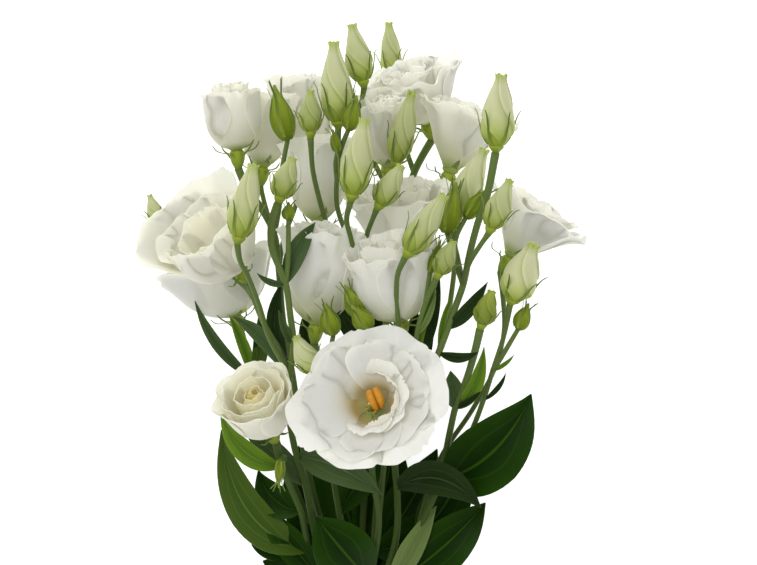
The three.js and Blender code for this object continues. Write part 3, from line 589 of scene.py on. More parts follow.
tree, shader = new_finish("sepal_green", roughness=0.5, specular_ior_level=0.15)
sepal_edge = put_math(tree, "POWER", put_math(tree, "ABSOLUTE", put_mark(tree, "across")), 3.0)
sepal_shade = put_ramp(tree, put_mark(tree, "along"), [
    (0, (0.28, 0.36, 0.03)), (0.45, (0.11, 0.175, 0.02)), (1, (0.05, 0.085, 0.02)),
])
tree.links.new(put_mix(tree, sepal_edge, sepal_shade, (0.22, 0.30, 0.06)),
               shader.inputs["Base Color"])

tree, shader = new_finish("green_bud", roughness=0.5, specular_ior_level=0.15,
                          subsurface_weight=0.15, subsurface_scale=0.002,
                          subsurface_radius=(0.9, 1, 0.4))
grain = put_fibre(tree, 5, 3, 110)
unripe = put_ramp(tree, put_mark(tree, "along"), [
    (0, (0.13, 0.18, 0.008)), (0.3, (0.24, 0.31, 0.012)), (0.7, (0.35, 0.43, 0.03)),
    (1, (0.44, 0.50, 0.10)),
])
unripe = put_mix(tree, grain["Streak"], unripe, (0.13, 0.20, 0.01))
paint(tree, shader, unripe, grain["Height"], 0.0004)

# Green buds by stem: foot, tip and width.
GREEN_BUDS = {
    "front": [((-0.5, 51, 98), (-9, 66.5, 102), 10), ((3.5, 45, 103), (-5.5, 56.5, 108), 10)],
    "left": [((-36.5, 98.5, 108), (-36.5, 107.5, 108), 6)],
    "front_left": [((-41, -20, 88), (-42, -34.5, 85), 4.5)],
    "right": [
        ((41.5, 92, 100), (46, 117.5, 101), 12), ((51, 99.5, 101), (62.5, 115, 101), 8),
        ((33, 72, 115), (38.5, 89, 115), 4.5),
    ],
    "back_left": [((-37.5, 139, 76), (-44.5, 166.5, 76), 12)],
    "middle": [((-14.5, 42, 94), (-18.5, 57.5, 99), 10)],
    "far_right": [((77, 44.5, 97), (82, 57.5, 99), 8)],
    "top": [((-7, 143.5, 90), (-3, 160.5, 95), 9), ((-12.5, 132.5, 86), (-15, 144, 90), 4.5)],
}
GREEN_SHARES = [0, 0.08, 0.16, 0.27, 0.38, 0.54, 0.7, 0.85, 1]
GREEN_RADII = [0.2, 0.33, 0.42, 0.48, 0.5, 0.42, 0.28, 0.14, 0.05]
GREEN_SIDES = 40
GREEN_ROWS = 22
GREEN_TWIST = 0.5
GREEN_RIDGE = 0.09


def grow_calyx(skin, head):
    """The cup under a bloom or a bud, faintly lobed where its sepals join."""
    rings = BLOOM_CALYX
    if "tip" in head:
        rim = float(bud_radius(head, 0.03)) + 0.3
        flare = rim - BUD_NECK
        rings = [(-3.2, 1.3), (-2.6, 1.6), (-1.8, BUD_NECK), (-1, BUD_NECK + 0.4 * flare),
                 (-0.2, BUD_NECK + 0.8 * flare), (0.7, rim), (1.3, rim * 0.85)]
    turn = np.linspace(0, 2 * math.pi, STALK_SIDES * 2, endpoint=False)
    lobes = 1 + CALYX_LOBE_DEPTH * np.cos(SEPALS * turn)
    stand = head_stand(head)
    cup = [in_flower(stand, radius * lobes * np.cos(turn), radius * lobes * np.sin(turn),
                     np.full(turn.shape, height)) for height, radius in rings]
    skin.rings(np.array(cup), tone=random.random(), finish=1)


def grow_sepal(skin, stand, turn, stops, width):
    """One narrow sepal through stops of (distance from the axis, height)."""
    line = smooth_route([(distance, 0, height) for distance, height in stops], 1.1)
    sway = 0.07 * np.linspace(0, 1, len(line)) ** 2 * random.uniform(-1, 1)
    share = np.linspace(0, 1, len(line))
    half = width / 2 * (1 - share) ** 0.7 * (0.55 + 0.45 * np.minimum(1, share * 6)) + 0.09
    t = np.linspace(-1, 1, SEPAL_COLUMNS)
    angle = turn + sway[:, None] + t * (half / np.maximum(line[:, 0], 1.5))[:, None]
    radius = line[:, 0][:, None] - 0.25 * (1 - t**2) * (1 - share[:, None]) + 0.2
    height = np.repeat(line[:, 2][:, None], SEPAL_COLUMNS, axis=1)
    skin.blade(in_flower(stand, radius * np.cos(angle), radius * np.sin(angle), height),
               SEPAL_THICKNESS, tone=random.random(), finish=2)


# A bloom's sepals by radius, height and share of the droop, and where a bud's sepals hug it.
SPREAD_SEPAL = [(3.4, -4, 0), (5, -1.5, 0), (8, -0.8, 0.3), (11, 0.6, 1), (13, 3.4, 1)]
HUG_SHARES = (0.04, 0.1, 0.18, 0.26)
GREEN_HUG_SHARES = (0.06, 0.2, 0.4, 0.6, 0.78)


def grow_sepals(skin, head):
    """The sepals of a bloom spread out under it, and those of a bud hug it and then curl away."""
    stand = head_stand(head)
    for k in range(SEPALS):
        turn = (k + SEPAL_TURN) / SEPALS * 2 * math.pi + random.uniform(-0.12, 0.12)
        if "mouth" in head:
            droop = random.uniform(-2, 2)
            stops = [(radius, height + droop * part) for radius, height, part in SPREAD_SEPAL]
            grow_sepal(skin, stand, turn, stops, SEPAL_WIDTH)
            continue
        reach = float(np.linalg.norm(np.subtract(head["tip"], head["base"])))
        hug = [(float(bud_radius(head, share)) + 0.35, share * reach) for share in HUG_SHARES]
        flare = random.uniform(2.2, 4.6)
        wide = float(bud_radius(head, 0.3))
        curl = [(wide + 1.1, 0.36 * reach), (wide + flare * 0.6, 0.46 * reach),
                (wide + flare, 0.52 * reach)]
        grow_sepal(skin, stand, turn, hug + curl, min(SEPAL_WIDTH, head["width"] * 0.1))


def grow_green_bud(skin, foot, tip, width):
    """A closed bud in its sepals, whose hair-fine ends stand apart."""
    stand = stand_at(foot, tip)
    reach = float(np.linalg.norm(np.subtract(tip, foot)))
    turn = np.linspace(0, 2 * math.pi, GREEN_SIDES, endpoint=False)
    rings = []
    for share in np.linspace(0, 1, GREEN_ROWS):
        fold = np.abs(np.sin(SEPALS / 2 * (turn - GREEN_TWIST * share)))
        radius = width * np.interp(share, GREEN_SHARES, GREEN_RADII)
        ring = radius * (1 + GREEN_RIDGE * (2 * fold - 1))
        rings.append(in_flower(stand, ring * np.cos(turn), ring * np.sin(turn),
                               np.full(turn.shape, share * reach)))
    skin.rings(np.array(rings), across=np.abs(np.sin(SEPALS / 2 * turn)), tone=random.random(),
               finish=3)
    for k in range(SEPALS):
        start = (k + 0.5) / SEPALS * 2 * math.pi
        stops = [(width * float(np.interp(share, GREEN_SHARES, GREEN_RADII)) + 0.3, share * reach)
                 for share in GREEN_HUG_SHARES]
        flare = random.uniform(0.8, 2.4)
        stops += [(width * 0.22 + flare, reach * 0.98), (width * 0.22 + flare * 1.7, reach * 1.1)]
        grow_sepal(skin, stand, start, stops, width * 0.17)


# Leaves
# Lisianthus leaves clasp the stem in pairs. They are thin, pointed and grey-green with a pale
# midrib. The florist's larger leaves among them are darker and glossy. Leaves that lie in shade
# among the stems are painted darker, as painted shade.

LEAF_THICKNESS = 0.5
LEAF_ROWS = 22
LEAF_COLUMNS = 12
LEAF_FOLD = 0.25
LEAF_WAVE = 0.035
LEAF_SHARES = [0, 0.04, 0.1, 1 / 6, 0.25, 1 / 3, 0.42, 0.5, 0.58, 2 / 3, 0.75, 5 / 6, 0.92, 0.97, 1]
LEAF_HALVES = [0.12, 0.28, 0.5, 0.68, 0.86, 0.96, 1, 1, 0.94, 0.84, 0.7, 0.5, 0.25, 0.1, 0.02]

# By stem: root, bend, tip, width and kind. The small ones on the branches are bracts.
LEAVES = {
    "front": [
        ((3, -84, 33), (-12, -66, 60), (-24, -50, 62), 30, "deep"),
        ((7, 35, 84), (-4, 44, 82), (-14, 58, 80), 14, "dark"),
        ((7, 35, 84), (2, 50, 80), (4, 62, 78), 12, "deep"),
        ((15, 10, 80), (24, 36, 80), (27, 54, 82), 13, "dark"),
    ],
    "left": [
        ((-33, -20, 64), (-14, -20, 78), (9.5, -38.5, 74), 17, "grey"),
        ((-36.5, 21.5, 81), (-47, 42, 74), (-65.5, 50.5, 66), 8.5, "grey"),
        ((-38, 67, 104), (-34, 84, 106), (-23.5, 97.5, 98), 10, "grey"),
        ((-29, -35, 57), (-45, -16, 62), (-60.5, -6, 60), 12, "grey"),
        ((-38, 67, 104), (-46, 66, 110), (-52, 72.5, 112), 3.4, "grey"),
        ((-34.5, 36.5, 88), (-39, 44, 96), (-41.5, 54, 100), 4, "grey"),
        ((-36.5, 21.5, 81), (-50, 44, 58), (-41, 68, 54), 9, "dark"),
    ],
    "front_left": [
        ((-27.5, -68, 42), (-66, -59, 62), (-71.5, -6.5, 58), 20, "fresh"),
        ((-40.5, -24, 78), (-62, -22, 86), (-71, 2.5, 84), 11, "bright"),
        ((-19, -88, 27), (-40, -60, 56), (-51, -48, 50), 16, "deep"),
        ((-31.5, -47.5, 58), (-48, -46, 50), (-53, -27, 54), 16, "deep"),
    ],
    "right": [
        ((42, 45, 99), (52, 52, 106), (61.5, 68, 108), 7, "dark"),
        ((17, -36, 52), (38, -20, 92), (59, -45, 74), 17, "dark"),
        ((37.5, 33, 96), (48, 28, 104), (57, 33.5, 104), 5, "dark"),
        ((26, 25, 92), (28, 52, 106), (37, 69, 113), 5, "bright"),
        ((26.5, 41.5, 104), (34, 50, 112), (36, 64, 112), 3, "pale"),
        ((26, 25, 92), (35, 48, 92), (38, 70, 98), 7, "dark"),
        ((24, 5, 76), (34, 40, 86), (33, 64, 94), 7, "deep"),
        ((37.5, 33, 96), (39, 52, 100), (45, 62, 102), 3, "bright"),
    ],
    "back_left": [
        ((-20, -60, 24), (-48, -66, 36), (-57, -66, 34), 20, "deep"),
        ((-41, 50, 38), (-50, 44, 44), (-56, 34, 40), 9, "deep"),
    ],
    "middle": [
        ((-12, -50, 38), (-2, -30, 46), (14, -14, 44), 16, "deep"),
        ((-25, 68, 55), (-34, 78, 60), (-38, 92, 58), 9, "grey"),
        ((-22, 20, 64), (-32, 42, 70), (-25, 58, 72), 9, "dark"),
    ],
    "far_right": [
        ((38.5, -32, 58), (68, -24, 84), (84, 12, 78), 34, "deep"),
        ((14, -88, 26), (44, -66, 52), (62, -44, 44), 26, "deep"),
        ((14, -88, 26), (24, -68, 48), (37, -45.5, 48), 12, "pale"),
        ((46, 5, 80), (58, 12, 90), (60, 36, 98), 8, "bright"),
        ((46, 5, 80), (45, 14, 88), (43.5, 24, 90), 10, "grey"),
        ((60, 9, 82), (68, 14, 90), (71, 23, 92), 2.6, "dark"),
        ((46, 5, 80), (53, 8, 88), (59, 14, 90), 3, "dark"),
        ((64.5, 24, 89), (70, 26, 96), (75, 32, 97), 2.2, "bright"),
        ((26, -62, 42), (44, -50, 32), (56, -14, 28), 24, "deep"),
    ],
    "lower_left": [
        ((-56, 18, 22), (-78, 34, 36), (-86, 59, 34), 6, "grey"),
        ((-56, 18, 22), (-60, 36, 32), (-68, 51, 42), 6, "bright"),
        ((-56, 18, 22), (-50, 36, 32), (-53, 52, 44), 8, "fresh"),
        ((-44, -15, 18), (-56, 0, 30), (-70, 12, 26), 14, "deep"),
        ((-11, -92, 10.5), (-24, -74, 4), (-40, -50, 4), 22, "deep"),
        ((-11, -92, 10.5), (-34, -84, 8), (-52, -76, 6), 24, "deep"),
        ((-20, -71, 12), (-30, -46, 6), (-32, -14, 6), 28, "deep"),
    ],
    "top": [
        ((-1, -70, 13), (-12, -46, 5), (-17, -12, 6), 30, "deep"),
        ((-1, -70, 13), (12, -48, 5), (16, -8, 6), 28, "deep"),
        ((-1, -90, 13), (8, -74, 3), (10, -46, 3), 34, "deep"),
        ((-1, -90, 13), (-14, -76, 3), (-22, -52, 3), 34, "deep"),
    ],
    "centre": [
        ((9, -20, 27), (26, -10, 36), (36, 10, 36), 14, "deep"),
        ((5, -70, 18), (28, -68, 24), (46, -44, 22), 22, "deep"),
        ((5, -72, 16), (24, -50, 12), (38, -18, 12), 26, "deep"),
        ((5, -88, 16), (24, -84, 10), (40, -62, 8), 26, "deep"),
    ],
}
LEAF_SLOTS = {"grey": 4, "dark": 5, "deep": 6, "fresh": 7, "bright": 8, "pale": 9}

# Colour near the midrib, colour towards the edge, midrib, roughness and gloss of each kind.
LEAF_COLOURS = {
    "grey": ((0.04, 0.08, 0.02), (0.075, 0.125, 0.036), (0.14, 0.20, 0.08), 0.5, 0.15),
    # dark is the grey kind painted darker, as painted shade, for the leaves that lie in shade.
    "dark": ((0.012, 0.028, 0.006), (0.028, 0.055, 0.012), (0.07, 0.11, 0.035), 0.5, 0.05),
    "deep": ((0.004, 0.02, 0.0003), (0.02, 0.068, 0.001), (0.035, 0.10, 0.003), 0.4, 0.06),
    "fresh": ((0.038, 0.08, 0.006), (0.072, 0.125, 0.012), (0.13, 0.21, 0.04), 0.42, 0.12),
    "bright": ((0.07, 0.15, 0.006), (0.17, 0.30, 0.015), (0.24, 0.40, 0.06), 0.45, 0.15),
    "pale": ((0.11, 0.165, 0.04), (0.18, 0.25, 0.075), (0.27, 0.36, 0.13), 0.5, 0.15),
}


def one_minus(tree, value):
    return put_math(tree, "SUBTRACT", 1.0, value, clamp=True)


def put_line(tree, distance, sharpness):
    """1 on a line, and less away from it, down to nothing."""
    return one_minus(tree, times(tree, distance, sharpness))


for kind, (inner, outer, rib, roughness, gloss) in LEAF_COLOURS.items():
    tree, shader = new_finish("leaf_" + kind, roughness=roughness, specular_ior_level=gloss)
    grain = put_fibre(tree, 7, 3, 70)
    aside = put_math(tree, "ABSOLUTE", put_mark(tree, "across"))
    blade_colour = put_mix(tree, aside, inner, outer)
    blade_colour = put_mix(tree, times(tree, grain["Cloud"], 0.7), blade_colour, inner)
    bow = times(tree, put_math(tree, "SINE", times(tree, put_mark(tree, "along"), 3.1)), 0.5)
    off_side_rib = put_math(tree, "ABSOLUTE", put_math(tree, "SUBTRACT", aside, bow))
    side_rib = times(tree, put_line(tree, off_side_rib, 16.0), 0.25)
    ribs = put_math(tree, "MAXIMUM", put_line(tree, aside, 14.0), side_rib)
    height = put_math(tree, "SUBTRACT", times(tree, grain["Height"], 0.5), ribs)
    paint(tree, shader, put_mix(tree, ribs, blade_colour, rib), height, 0.0004)


def grow_leaf(skin, root, bend, tip, width, kind):
    """A pointed blade, folded along its midrib and waved at its edges."""
    root, bend, tip = (np.array(point, float) for point in (root, bend, tip))
    s = np.linspace(0, 1, LEAF_ROWS + 1)
    t = np.linspace(-1, 1, LEAF_COLUMNS + 1)
    middle = np.outer((1 - s)**2, root) + np.outer(2 * s * (1 - s), bend) + np.outer(s**2, tip)
    tangent = np.gradient(middle, axis=0)
    tangent /= np.linalg.norm(tangent, axis=1, keepdims=True)
    up = np.array((0.0, 0.0, 1.0)) - tangent * tangent[:, 2:3]
    up /= np.linalg.norm(up, axis=1, keepdims=True)
    side = np.cross(tangent, up)
    half = (width / 2 * np.interp(s, LEAF_SHARES, LEAF_HALVES))[:, None]
    phase = random.uniform(0, 6.3)
    wave = LEAF_WAVE * np.abs(t) ** 3 * np.sin(9 * s[:, None] + phase + 1.5 * t)
    rise = half * (np.sqrt(t**2 + 0.01) * LEAF_FOLD + 2 * wave)
    grid = middle[:, None] + side[:, None] * (t * half)[..., None] + up[:, None] * rise[..., None]
    skin.blade(grid, LEAF_THICKNESS, tone=random.random(), finish=LEAF_SLOTS[kind])


random.seed(7)
for name, stalk in STALKS.items():
    skin = Skin()
    grow_stalk(skin, lower_stem(stalk["slot"], stalk["cut"]) + stalk["trunk"], TRUNK_RADIUS,
               stalk["carries"])
    for carried, route in stalk["branches"]:
        grow_stalk(skin, route, BRANCH_RADIUS, carried)
    for carried in [stalk["carries"]] + [branch[0] for branch in stalk["branches"] if branch[0]]:
        grow_sepals(skin, BLOOMS.get(carried) or BUDS[carried])
    for foot, tip, width in GREEN_BUDS.get(name, []):
        grow_green_bud(skin, foot, tip, width)
    for leaf in LEAVES[name]:
        grow_leaf(skin, *leaf)
    skin.piece("leafy_stem_" + name,
               ["stalk_green", "calyx_green", "sepal_green", "green_bud"]
               + ["leaf_" + kind for kind in LEAF_SLOTS], "stem_" + name)


# Tie
# A length of rough two-strand twine is wound five times round the stems, side by side.

TWINE_RADIUS = 0.78
TWINE_TURNS = 5
TWINE_STEPS = 120
TWINE_CLEARANCE = 0.15
TIE_INNER = (9.0, 7.4)
STRAND_TWISTS = 26
STRAND_RADIUS = 0.6 * TWINE_RADIUS
STRAND_OFFSET = 0.42 * TWINE_RADIUS
STRAND_SIDES = 7


def grained_finish(name, dark, light, fibre_sizes, relief, by="Cloud", **surface):
    """A finish of two colours, mixed by its fibre, whose relief is given in metres."""
    tree, shader = new_finish(name, **surface)
    grain = put_fibre(tree, *fibre_sizes)
    paint(tree, shader, put_mix(tree, grain[by], dark, light), grain["Height"], relief)


grained_finish("twine", (0.36, 0.25, 0.12), (0.62, 0.48, 0.28), (14, 90, 900), 0.0005,
               by="Streak", roughness=0.9, sheen_weight=0.3)

skin = Skin()
turn = np.linspace(0, 2 * math.pi, TWINE_STEPS + 1)
outward = np.stack([np.cos(turn), np.zeros_like(turn), np.sin(turn)], axis=1)
sideways = np.array((0.0, 1.0, 0.0))
half_width, half_height = (inner + TWINE_CLEARANCE + TWINE_RADIUS for inner in TIE_INNER)
for k in range(TWINE_TURNS):
    depth = TIE_CENTRE[1] + (k - (TWINE_TURNS - 1) / 2) * 2 * TWINE_RADIUS
    route = np.stack([
        TIE_CENTRE[0] + half_width * np.cos(turn),
        depth + 0.25 * np.sin(turn + k),
        TIE_CENTRE[2] + half_height * np.sin(turn),
    ], axis=1)
    for strand in (0, math.pi):
        lay = turn * STRAND_TWISTS + strand
        offset = STRAND_OFFSET * (np.cos(lay)[:, None] * outward
                                  + np.sin(lay)[:, None] * sideways)
        skin.tube(route + offset, np.full(len(turn), STRAND_RADIUS), STRAND_SIDES,
                  tone=k / TWINE_TURNS)
skin.piece("twine_tie", ["twine"], "tie")


# Blooms
# Each bloom has four to six rings of thin round petals that lap like roof tiles, with soft
# waved edges. They are white, cream in the throat and green at the foot.

PETAL_THICKNESS = 0.35
PETAL_ROOT_RADIUS = [3, 1.8, 0.9]
PETAL_ROOT_HEIGHT = [0.8, 2, 2.6]
PETAL_WRAP = 1.05
PETAL_STEPS = 24
PETAL_LAP = 0.5
SPREAD_SHARES = [0, 0.12, 0.25, 0.4, 0.5, 0.65, 0.75, 0.88, 1]
SPREAD_WIDTHS = [0.16, 0.36, 0.56, 0.79, 0.9, 0.99, 1, 0.97, 0.9]

# How many rows and columns of faces a petal has, and the front bloom's, which is seen closest.
PETAL_FINENESS = (14, 40)
NEAR_FINENESS = (22, 52)

# The radii and heights of the heart that the petals stand on.
HEART = [(3.2, 0.3), (4.2, 1.4), (4.2, 2.8), (2.6, 4.4), (1.2, 4.7)]
HEART_SIDES = 20


def ring(count, long, lean, wave=1.3, half=1.5, root=0, turns=None):
    """A ring of petals: how many, how long for the bloom's size, how far each leans from the
    axis from root to tip in degrees, the depth of its waves, how wide it is for its share of
    the ring, the row of its root, and its places in degrees where they aren't even.
    """
    return dict(count=count, long=long, lean=lean, wave=wave, half=half, root=root, turns=turns)


FORMS = {
    "open": [
        ring(6, 1, (80, 24, 74, 90), 1.6),
        ring(6, 1.08, (80, 24, 74, 92), 1.2, 1.2, 0, (182,)),
        ring(5, 0.88, (80, 16, 62, 86), 1.2, 1.4, 1, (-55, 5, 62, 118)),
        ring(4, 0.93, (80, 20, 72, 91), 0.7, 1.5, 2, (158, 222, 276)),
        ring(6, 0.76, (84, 34, 18, 50), 0.5, 1.4, 2, (-36, 16, 66, 108)),
        ring(6, 0.66, (86, 50, 12, -34), 0.1, 1.35, 2, (-26, 38, 92)),
    ],
    "wide": [
        ring(5, 1.1, (78, 38, 28, 76), 1.5, 1.35, 0, (-82, -122, 234)),
        ring(5, 0.95, (80, 44, 22, 48), 0.8, 1.5, 0, (26,)),
        ring(5, 0.86, (80, 30, 22, 62), 1, 1.45, 1, (-66, 216, 262)),
        ring(5, 0.92, (84, 48, 8, -14), 0.5, 1.5, 1, (10, 60, 108, 154)),
        ring(5, 0.74, (80, 30, 8, 14), 0.4, 1.5, 2, (-90, -20, 52, 128, 200)),
    ],
    "bowl": [
        ring(4, 1, (80, 38, 22, 52), 1.2, 1.7),
        ring(4, 0.94, (64, 22, 12, 40), 1.1, 1.5, 1),
        ring(3, 0.84, (44, 10, 4, 30), 1, 1.5, 2),
        ring(3, 0.74, (30, 2, -2, 20), 1, 1.5, 2),
    ],
    "goblet": [
        ring(4, 1, (84, 30, 2, 26), 0.9, 1.7),
        ring(3, 0.97, (64, 18, -2, 16), 1, 1.6, 1),
        ring(3, 0.9, (42, 8, -6, 12), 1, 1.5, 2),
        ring(3, 0.82, (28, 0, -6, 8), 1, 1.5, 2),
    ],
    "funnel": [
        ring(4, 1, (44, 36, 38, 72), 1.4, 1.7),
        ring(4, 0.93, (34, 24, 28, 56), 1.2, 1.5, 1),
        ring(3, 0.82, (26, 14, 16, 40), 1.1, 1.5, 2),
        ring(3, 0.7, (18, 6, 8, 28), 1, 1.5, 2),
    ],
    "barrel": [
        ring(3, 1, (84, 22, -4, 14), 0.8, 1.7),
        ring(3, 0.98, (64, 12, -8, 2), 0.8, 1.6, 1),
        ring(3, 0.92, (42, 2, -10, -2), 0.8, 1.5, 2),
        ring(3, 0.86, (28, -4, -10, -6), 0.8, 1.5, 2),
    ],
    "rosette": [
        ring(4, 1, (78, 36, 8, 30), 0.8, 1.6),
        ring(4, 0.95, (74, 30, 2, 20), 0.7, 1.6, 1),
        ring(3, 0.9, (66, 22, -6, 6), 0.6, 1.6, 2),
        ring(3, 0.84, (54, 16, -14, -10), 0.3, 1.5, 2),
        ring(3, 0.8, (42, 8, -14, -14), 0.1, 1.4, 2),
        ring(2, 0.75, (24, 6, -6, -8), 0, 1.5, 2),
    ],
}

# The inner face of a petal is cream, olive or gold in the throat, its back is faintly green, and
# both are green at the foot. The grey-green of the back is partly the petal's own green and partly
# painted shade, stronger on the blooms that lie in shade. The heart of the warmest bloom is golden.
# The petals are given a faint glow, painted light that softens the shade in the creases between them.
tree, shader = new_finish("petal_white", roughness=0.65, specular_ior_level=0.15,
                          subsurface_weight=0.6, subsurface_scale=0.004,
                          subsurface_radius=(1, 0.97, 0.8), emission_strength=0.05,
                          emission_color=(0.9, 0.92, 0.72, 1))
grain = put_fibre(tree, 18, 1.2, 90)
height_up = put_mark(tree, "along")
warmth = put_mark(tree, "tone")
reach_inside = put_mark(tree, "inside")
on_inside = put_math(tree, "GREATER_THAN", reach_inside, 0.01)
on_back = put_math(tree, "SUBTRACT", 1.0, on_inside)
golden = put_math(tree, "SUBTRACT", warmth, 0.75, clamp=True)
golden = put_math(tree, "MULTIPLY", golden, 2.5, clamp=True)
petal_colour = put_mix(tree, times(tree, grain["Cloud"], 0.4), (0.87, 0.86, 0.80), (0.83, 0.82, 0.73))
petal_colour = put_mix(tree, times(tree, warmth, 0.9), petal_colour, (0.85, 0.82, 0.54))
petal_colour = put_mix(tree, golden, petal_colour, (0.78, 0.60, 0.15))
throat = put_fade(tree, height_up, times(tree, reach_inside, 0.4), reach_inside)
throat_colour = put_ramp(tree, warmth, [
    (0, (0.62, 0.50, 0.24)), (0.4, (0.82, 0.73, 0.48)), (1, (0.80, 0.56, 0.10)),
])
# Low in the throat the colour deepens to dark gold: partly the throat's own colour, partly painted
# shade in the deep cup.
deep_throat_and_shade = put_fade(tree, height_up, times(tree, reach_inside, 0.3),
                       times(tree, reach_inside, 0.8), top=0.95)
deep_throat_and_shade = times(tree, deep_throat_and_shade, one_minus(tree, warmth))
throat_colour = put_mix(tree, deep_throat_and_shade, throat_colour, (0.40, 0.26, 0.03))
petal_colour = put_mix(tree, times(tree, throat, on_inside), petal_colour, throat_colour)
# Grey-green on the back towards the foot: the petal's own green with painted shade, set per bloom.
back_green_and_shade_amount = times(tree, put_fade(tree, height_up, 0.1, 0.75), put_mark(tree, "leafy"))
petal_colour = put_mix(tree, times(tree, back_green_and_shade_amount, on_back), petal_colour, (0.46, 0.48, 0.24))
foot = put_fade(tree, height_up, 0.05, 0.27)
petal_colour = put_mix(tree, foot, petal_colour, (0.21, 0.29, 0.025))
paint(tree, shader, petal_colour, grain["Height"], 0.0003, 0.5)


def ripple(points, rng, length):
    """Soft irregular bumps over space, from -1 to 1, with about that length between them."""
    total = np.zeros(points.shape[:-1])
    for _ in range(5):
        direction = unit(rng.normal(size=3)) * (2 * math.pi / length * rng.uniform(0.7, 1.4))
        total += np.sin(points @ direction + rng.uniform(0, 6.3))
    return total / 3


def waves(t, phase, *each):
    """Waves across a petal, each with its height, how fast it runs and its share of the phase."""
    return sum(height * np.sin(speed * t + share * phase) for height, speed, share in each)


def grow_petal(skin, stand, petal):
    """A petal that leans out from its root to its tip, wraps round the bloom and waves."""
    knots = np.linspace(0, 1, PETAL_STEPS + 1)
    middle = (knots[1:] + knots[:-1]) / 2
    lean = np.radians(np.interp(middle, np.linspace(0, 1, len(petal["lean"])), petal["lean"]))
    step = petal["length"] / PETAL_STEPS
    root = petal["root"]
    radii = PETAL_ROOT_RADIUS[root] + np.concatenate([[0], np.cumsum(np.sin(lean))]) * step
    heights = PETAL_ROOT_HEIGHT[root] + np.concatenate([[0], np.cumsum(np.cos(lean))]) * step
    leans = np.concatenate([lean[:1], lean])

    # s runs from root to tip and t from side to side. The tip has patches of fine teeth.
    rows, columns = petal["fineness"]
    s = (1 - (1 - np.linspace(0, 1, rows + 1)) ** 1.3)[:, None]
    t = np.linspace(-1, 1, columns + 1)[None, :]
    phase = petal["phase"]
    patch = np.clip(waves(t, phase, (1, 3.1, 5)) + 0.3, 0, 1.3) ** 2
    teeth = patch * waves(t, phase, (0.010, 29, 1), (0.007, 47, 2))
    scallop = waves(t, phase, (0.02, 7, 3))
    reach = s * (1 - petal["taper"] * np.abs(t) ** 3) + s**5 * (teeth + scallop)
    radius = np.interp(reach, knots, radii)
    height = np.interp(reach, knots, heights)
    angle_out = np.interp(reach, knots, leans)
    bend = np.maximum(radius * PETAL_WRAP, 1)
    angle = t * petal["half"] * np.interp(s, SPREAD_SHARES, SPREAD_WIDTHS)
    azimuth = petal["turn"] + angle

    # Slow waves go round the whole ring, and finer ones frill and ruffle the margin.
    wave = petal["wave"] * s**2.5 * np.sin(petal["waves"] * azimuth + petal["ring_phase"])
    margin = np.maximum(s**5, np.abs(t) ** 6 * np.minimum(1, 3 * s) * 0.5)
    frill = margin * (waves(t, phase, (0.5, 6, 1)) + 0.4 * np.sin(11 * t + 3 * s + phase * 1.7))
    ruffle = s**8 * waves(t, phase, (1, 13, 2.3), (0.7, 22, 3.1))
    ruffle = ruffle * (0.6 + waves(t, phase, (0.4, 4, 1.3)))
    lift = wave + (0.5 + petal["frill"]) * frill + petal["frill"] * ruffle
    lift = lift + PETAL_LAP * t * np.minimum(1, 6 * s)
    outward = radius - bend * (1 - np.cos(angle)) + lift * np.cos(angle_out)
    sideways = bend * np.sin(angle)
    c, d = math.cos(petal["turn"]), math.sin(petal["turn"])
    x = outward * c - sideways * d
    y = (outward * d + sideways * c) * petal["flat"]
    h = height - lift * np.sin(angle_out)

    # The petals of a ring crease together, so that they don't cut through each other.
    local = np.stack([x, y, h], axis=-1)
    noise = np.random.default_rng(petal["noise"])
    crease = ripple(local, noise, 20) + ripple(local, noise, 9) * 0.25
    crease = crease * s * (0.3 + 0.5 * petal["wave"])
    x = x + crease * np.cos(angle_out) * np.cos(azimuth)
    y = y + crease * np.cos(angle_out) * np.sin(azimuth)
    h = h + crease * np.sin(angle_out)
    skin.blade(in_flower(stand, x, y, h), PETAL_THICKNESS, tone=petal["warm"],
               inside=petal["throat"], leafy=petal["leafy"], places=s[:, 0])


def grow_bloom(name, bloom):
    """A small heart, and the rings of petals round it, from the outermost to the innermost."""
    rng = np.random.default_rng(bloom["seed"])
    stand = head_stand(bloom)
    skin = Skin()
    turn = np.linspace(0, 2 * math.pi, HEART_SIDES, endpoint=False)
    heart = [in_flower(stand, radius * np.cos(turn), radius * np.sin(turn),
                       np.full(turn.shape, height)) for radius, height in HEART]
    skin.rings(np.array(heart), along=np.full(len(HEART), 0.02))
    for row, petals in enumerate(FORMS[bloom["form"]]):
        ring_phase = rng.uniform(0, 6.3)
        count = petals["count"]
        turns = petals["turns"] or [(k + row * 0.5) / count * 360 + bloom["turn"]
                                    for k in range(count)]
        for turn in turns:
            grow_petal(skin, stand, {
                "root": petals["root"],
                "lean": [a * bloom["spread"] + rng.uniform(-3, 3) for a in petals["lean"]],
                "length": bloom["size"] * petals["long"] * rng.uniform(0.95, 1.03),
                "half": math.pi / count * petals["half"],
                "turn": math.radians(turn) + rng.uniform(-0.1, 0.1),
                "taper": bloom["taper"] + rng.uniform(-0.03, 0.03),
                "wave": petals["wave"],
                "waves": count * 2 - 1,
                "ring_phase": ring_phase,
                "phase": rng.uniform(0, 6.3),
                "frill": bloom["frill"],
                "throat": bloom["throat"],
                "fineness": NEAR_FINENESS if bloom["form"] == "open" else PETAL_FINENESS,
                "flat": bloom["flat"],
                "noise": bloom["seed"] * 10 + row,
                "warm": bloom["warm"] * (0.55 + 0.12 * row if bloom["form"] == "rosette" else 1),
                "leafy": bloom["leafy"],
            })
    skin.piece("petals_" + name, ["petal_white"], "bloom_" + name)


for name, bloom in BLOOMS.items():
    grow_bloom(name, bloom)


# Pistil
# In the throat of the front bloom a green ovary carries a short style with a golden stigma
# of two fleshy lobes, and five curled anthers stand round it on thin filaments.

OVARY = [(0, 0, 4.4), (0, 0, 7), (0, 0, 10), (0, 0, 11.5)]
ANTHERS = 5
ANTHER_TURN = 0.5

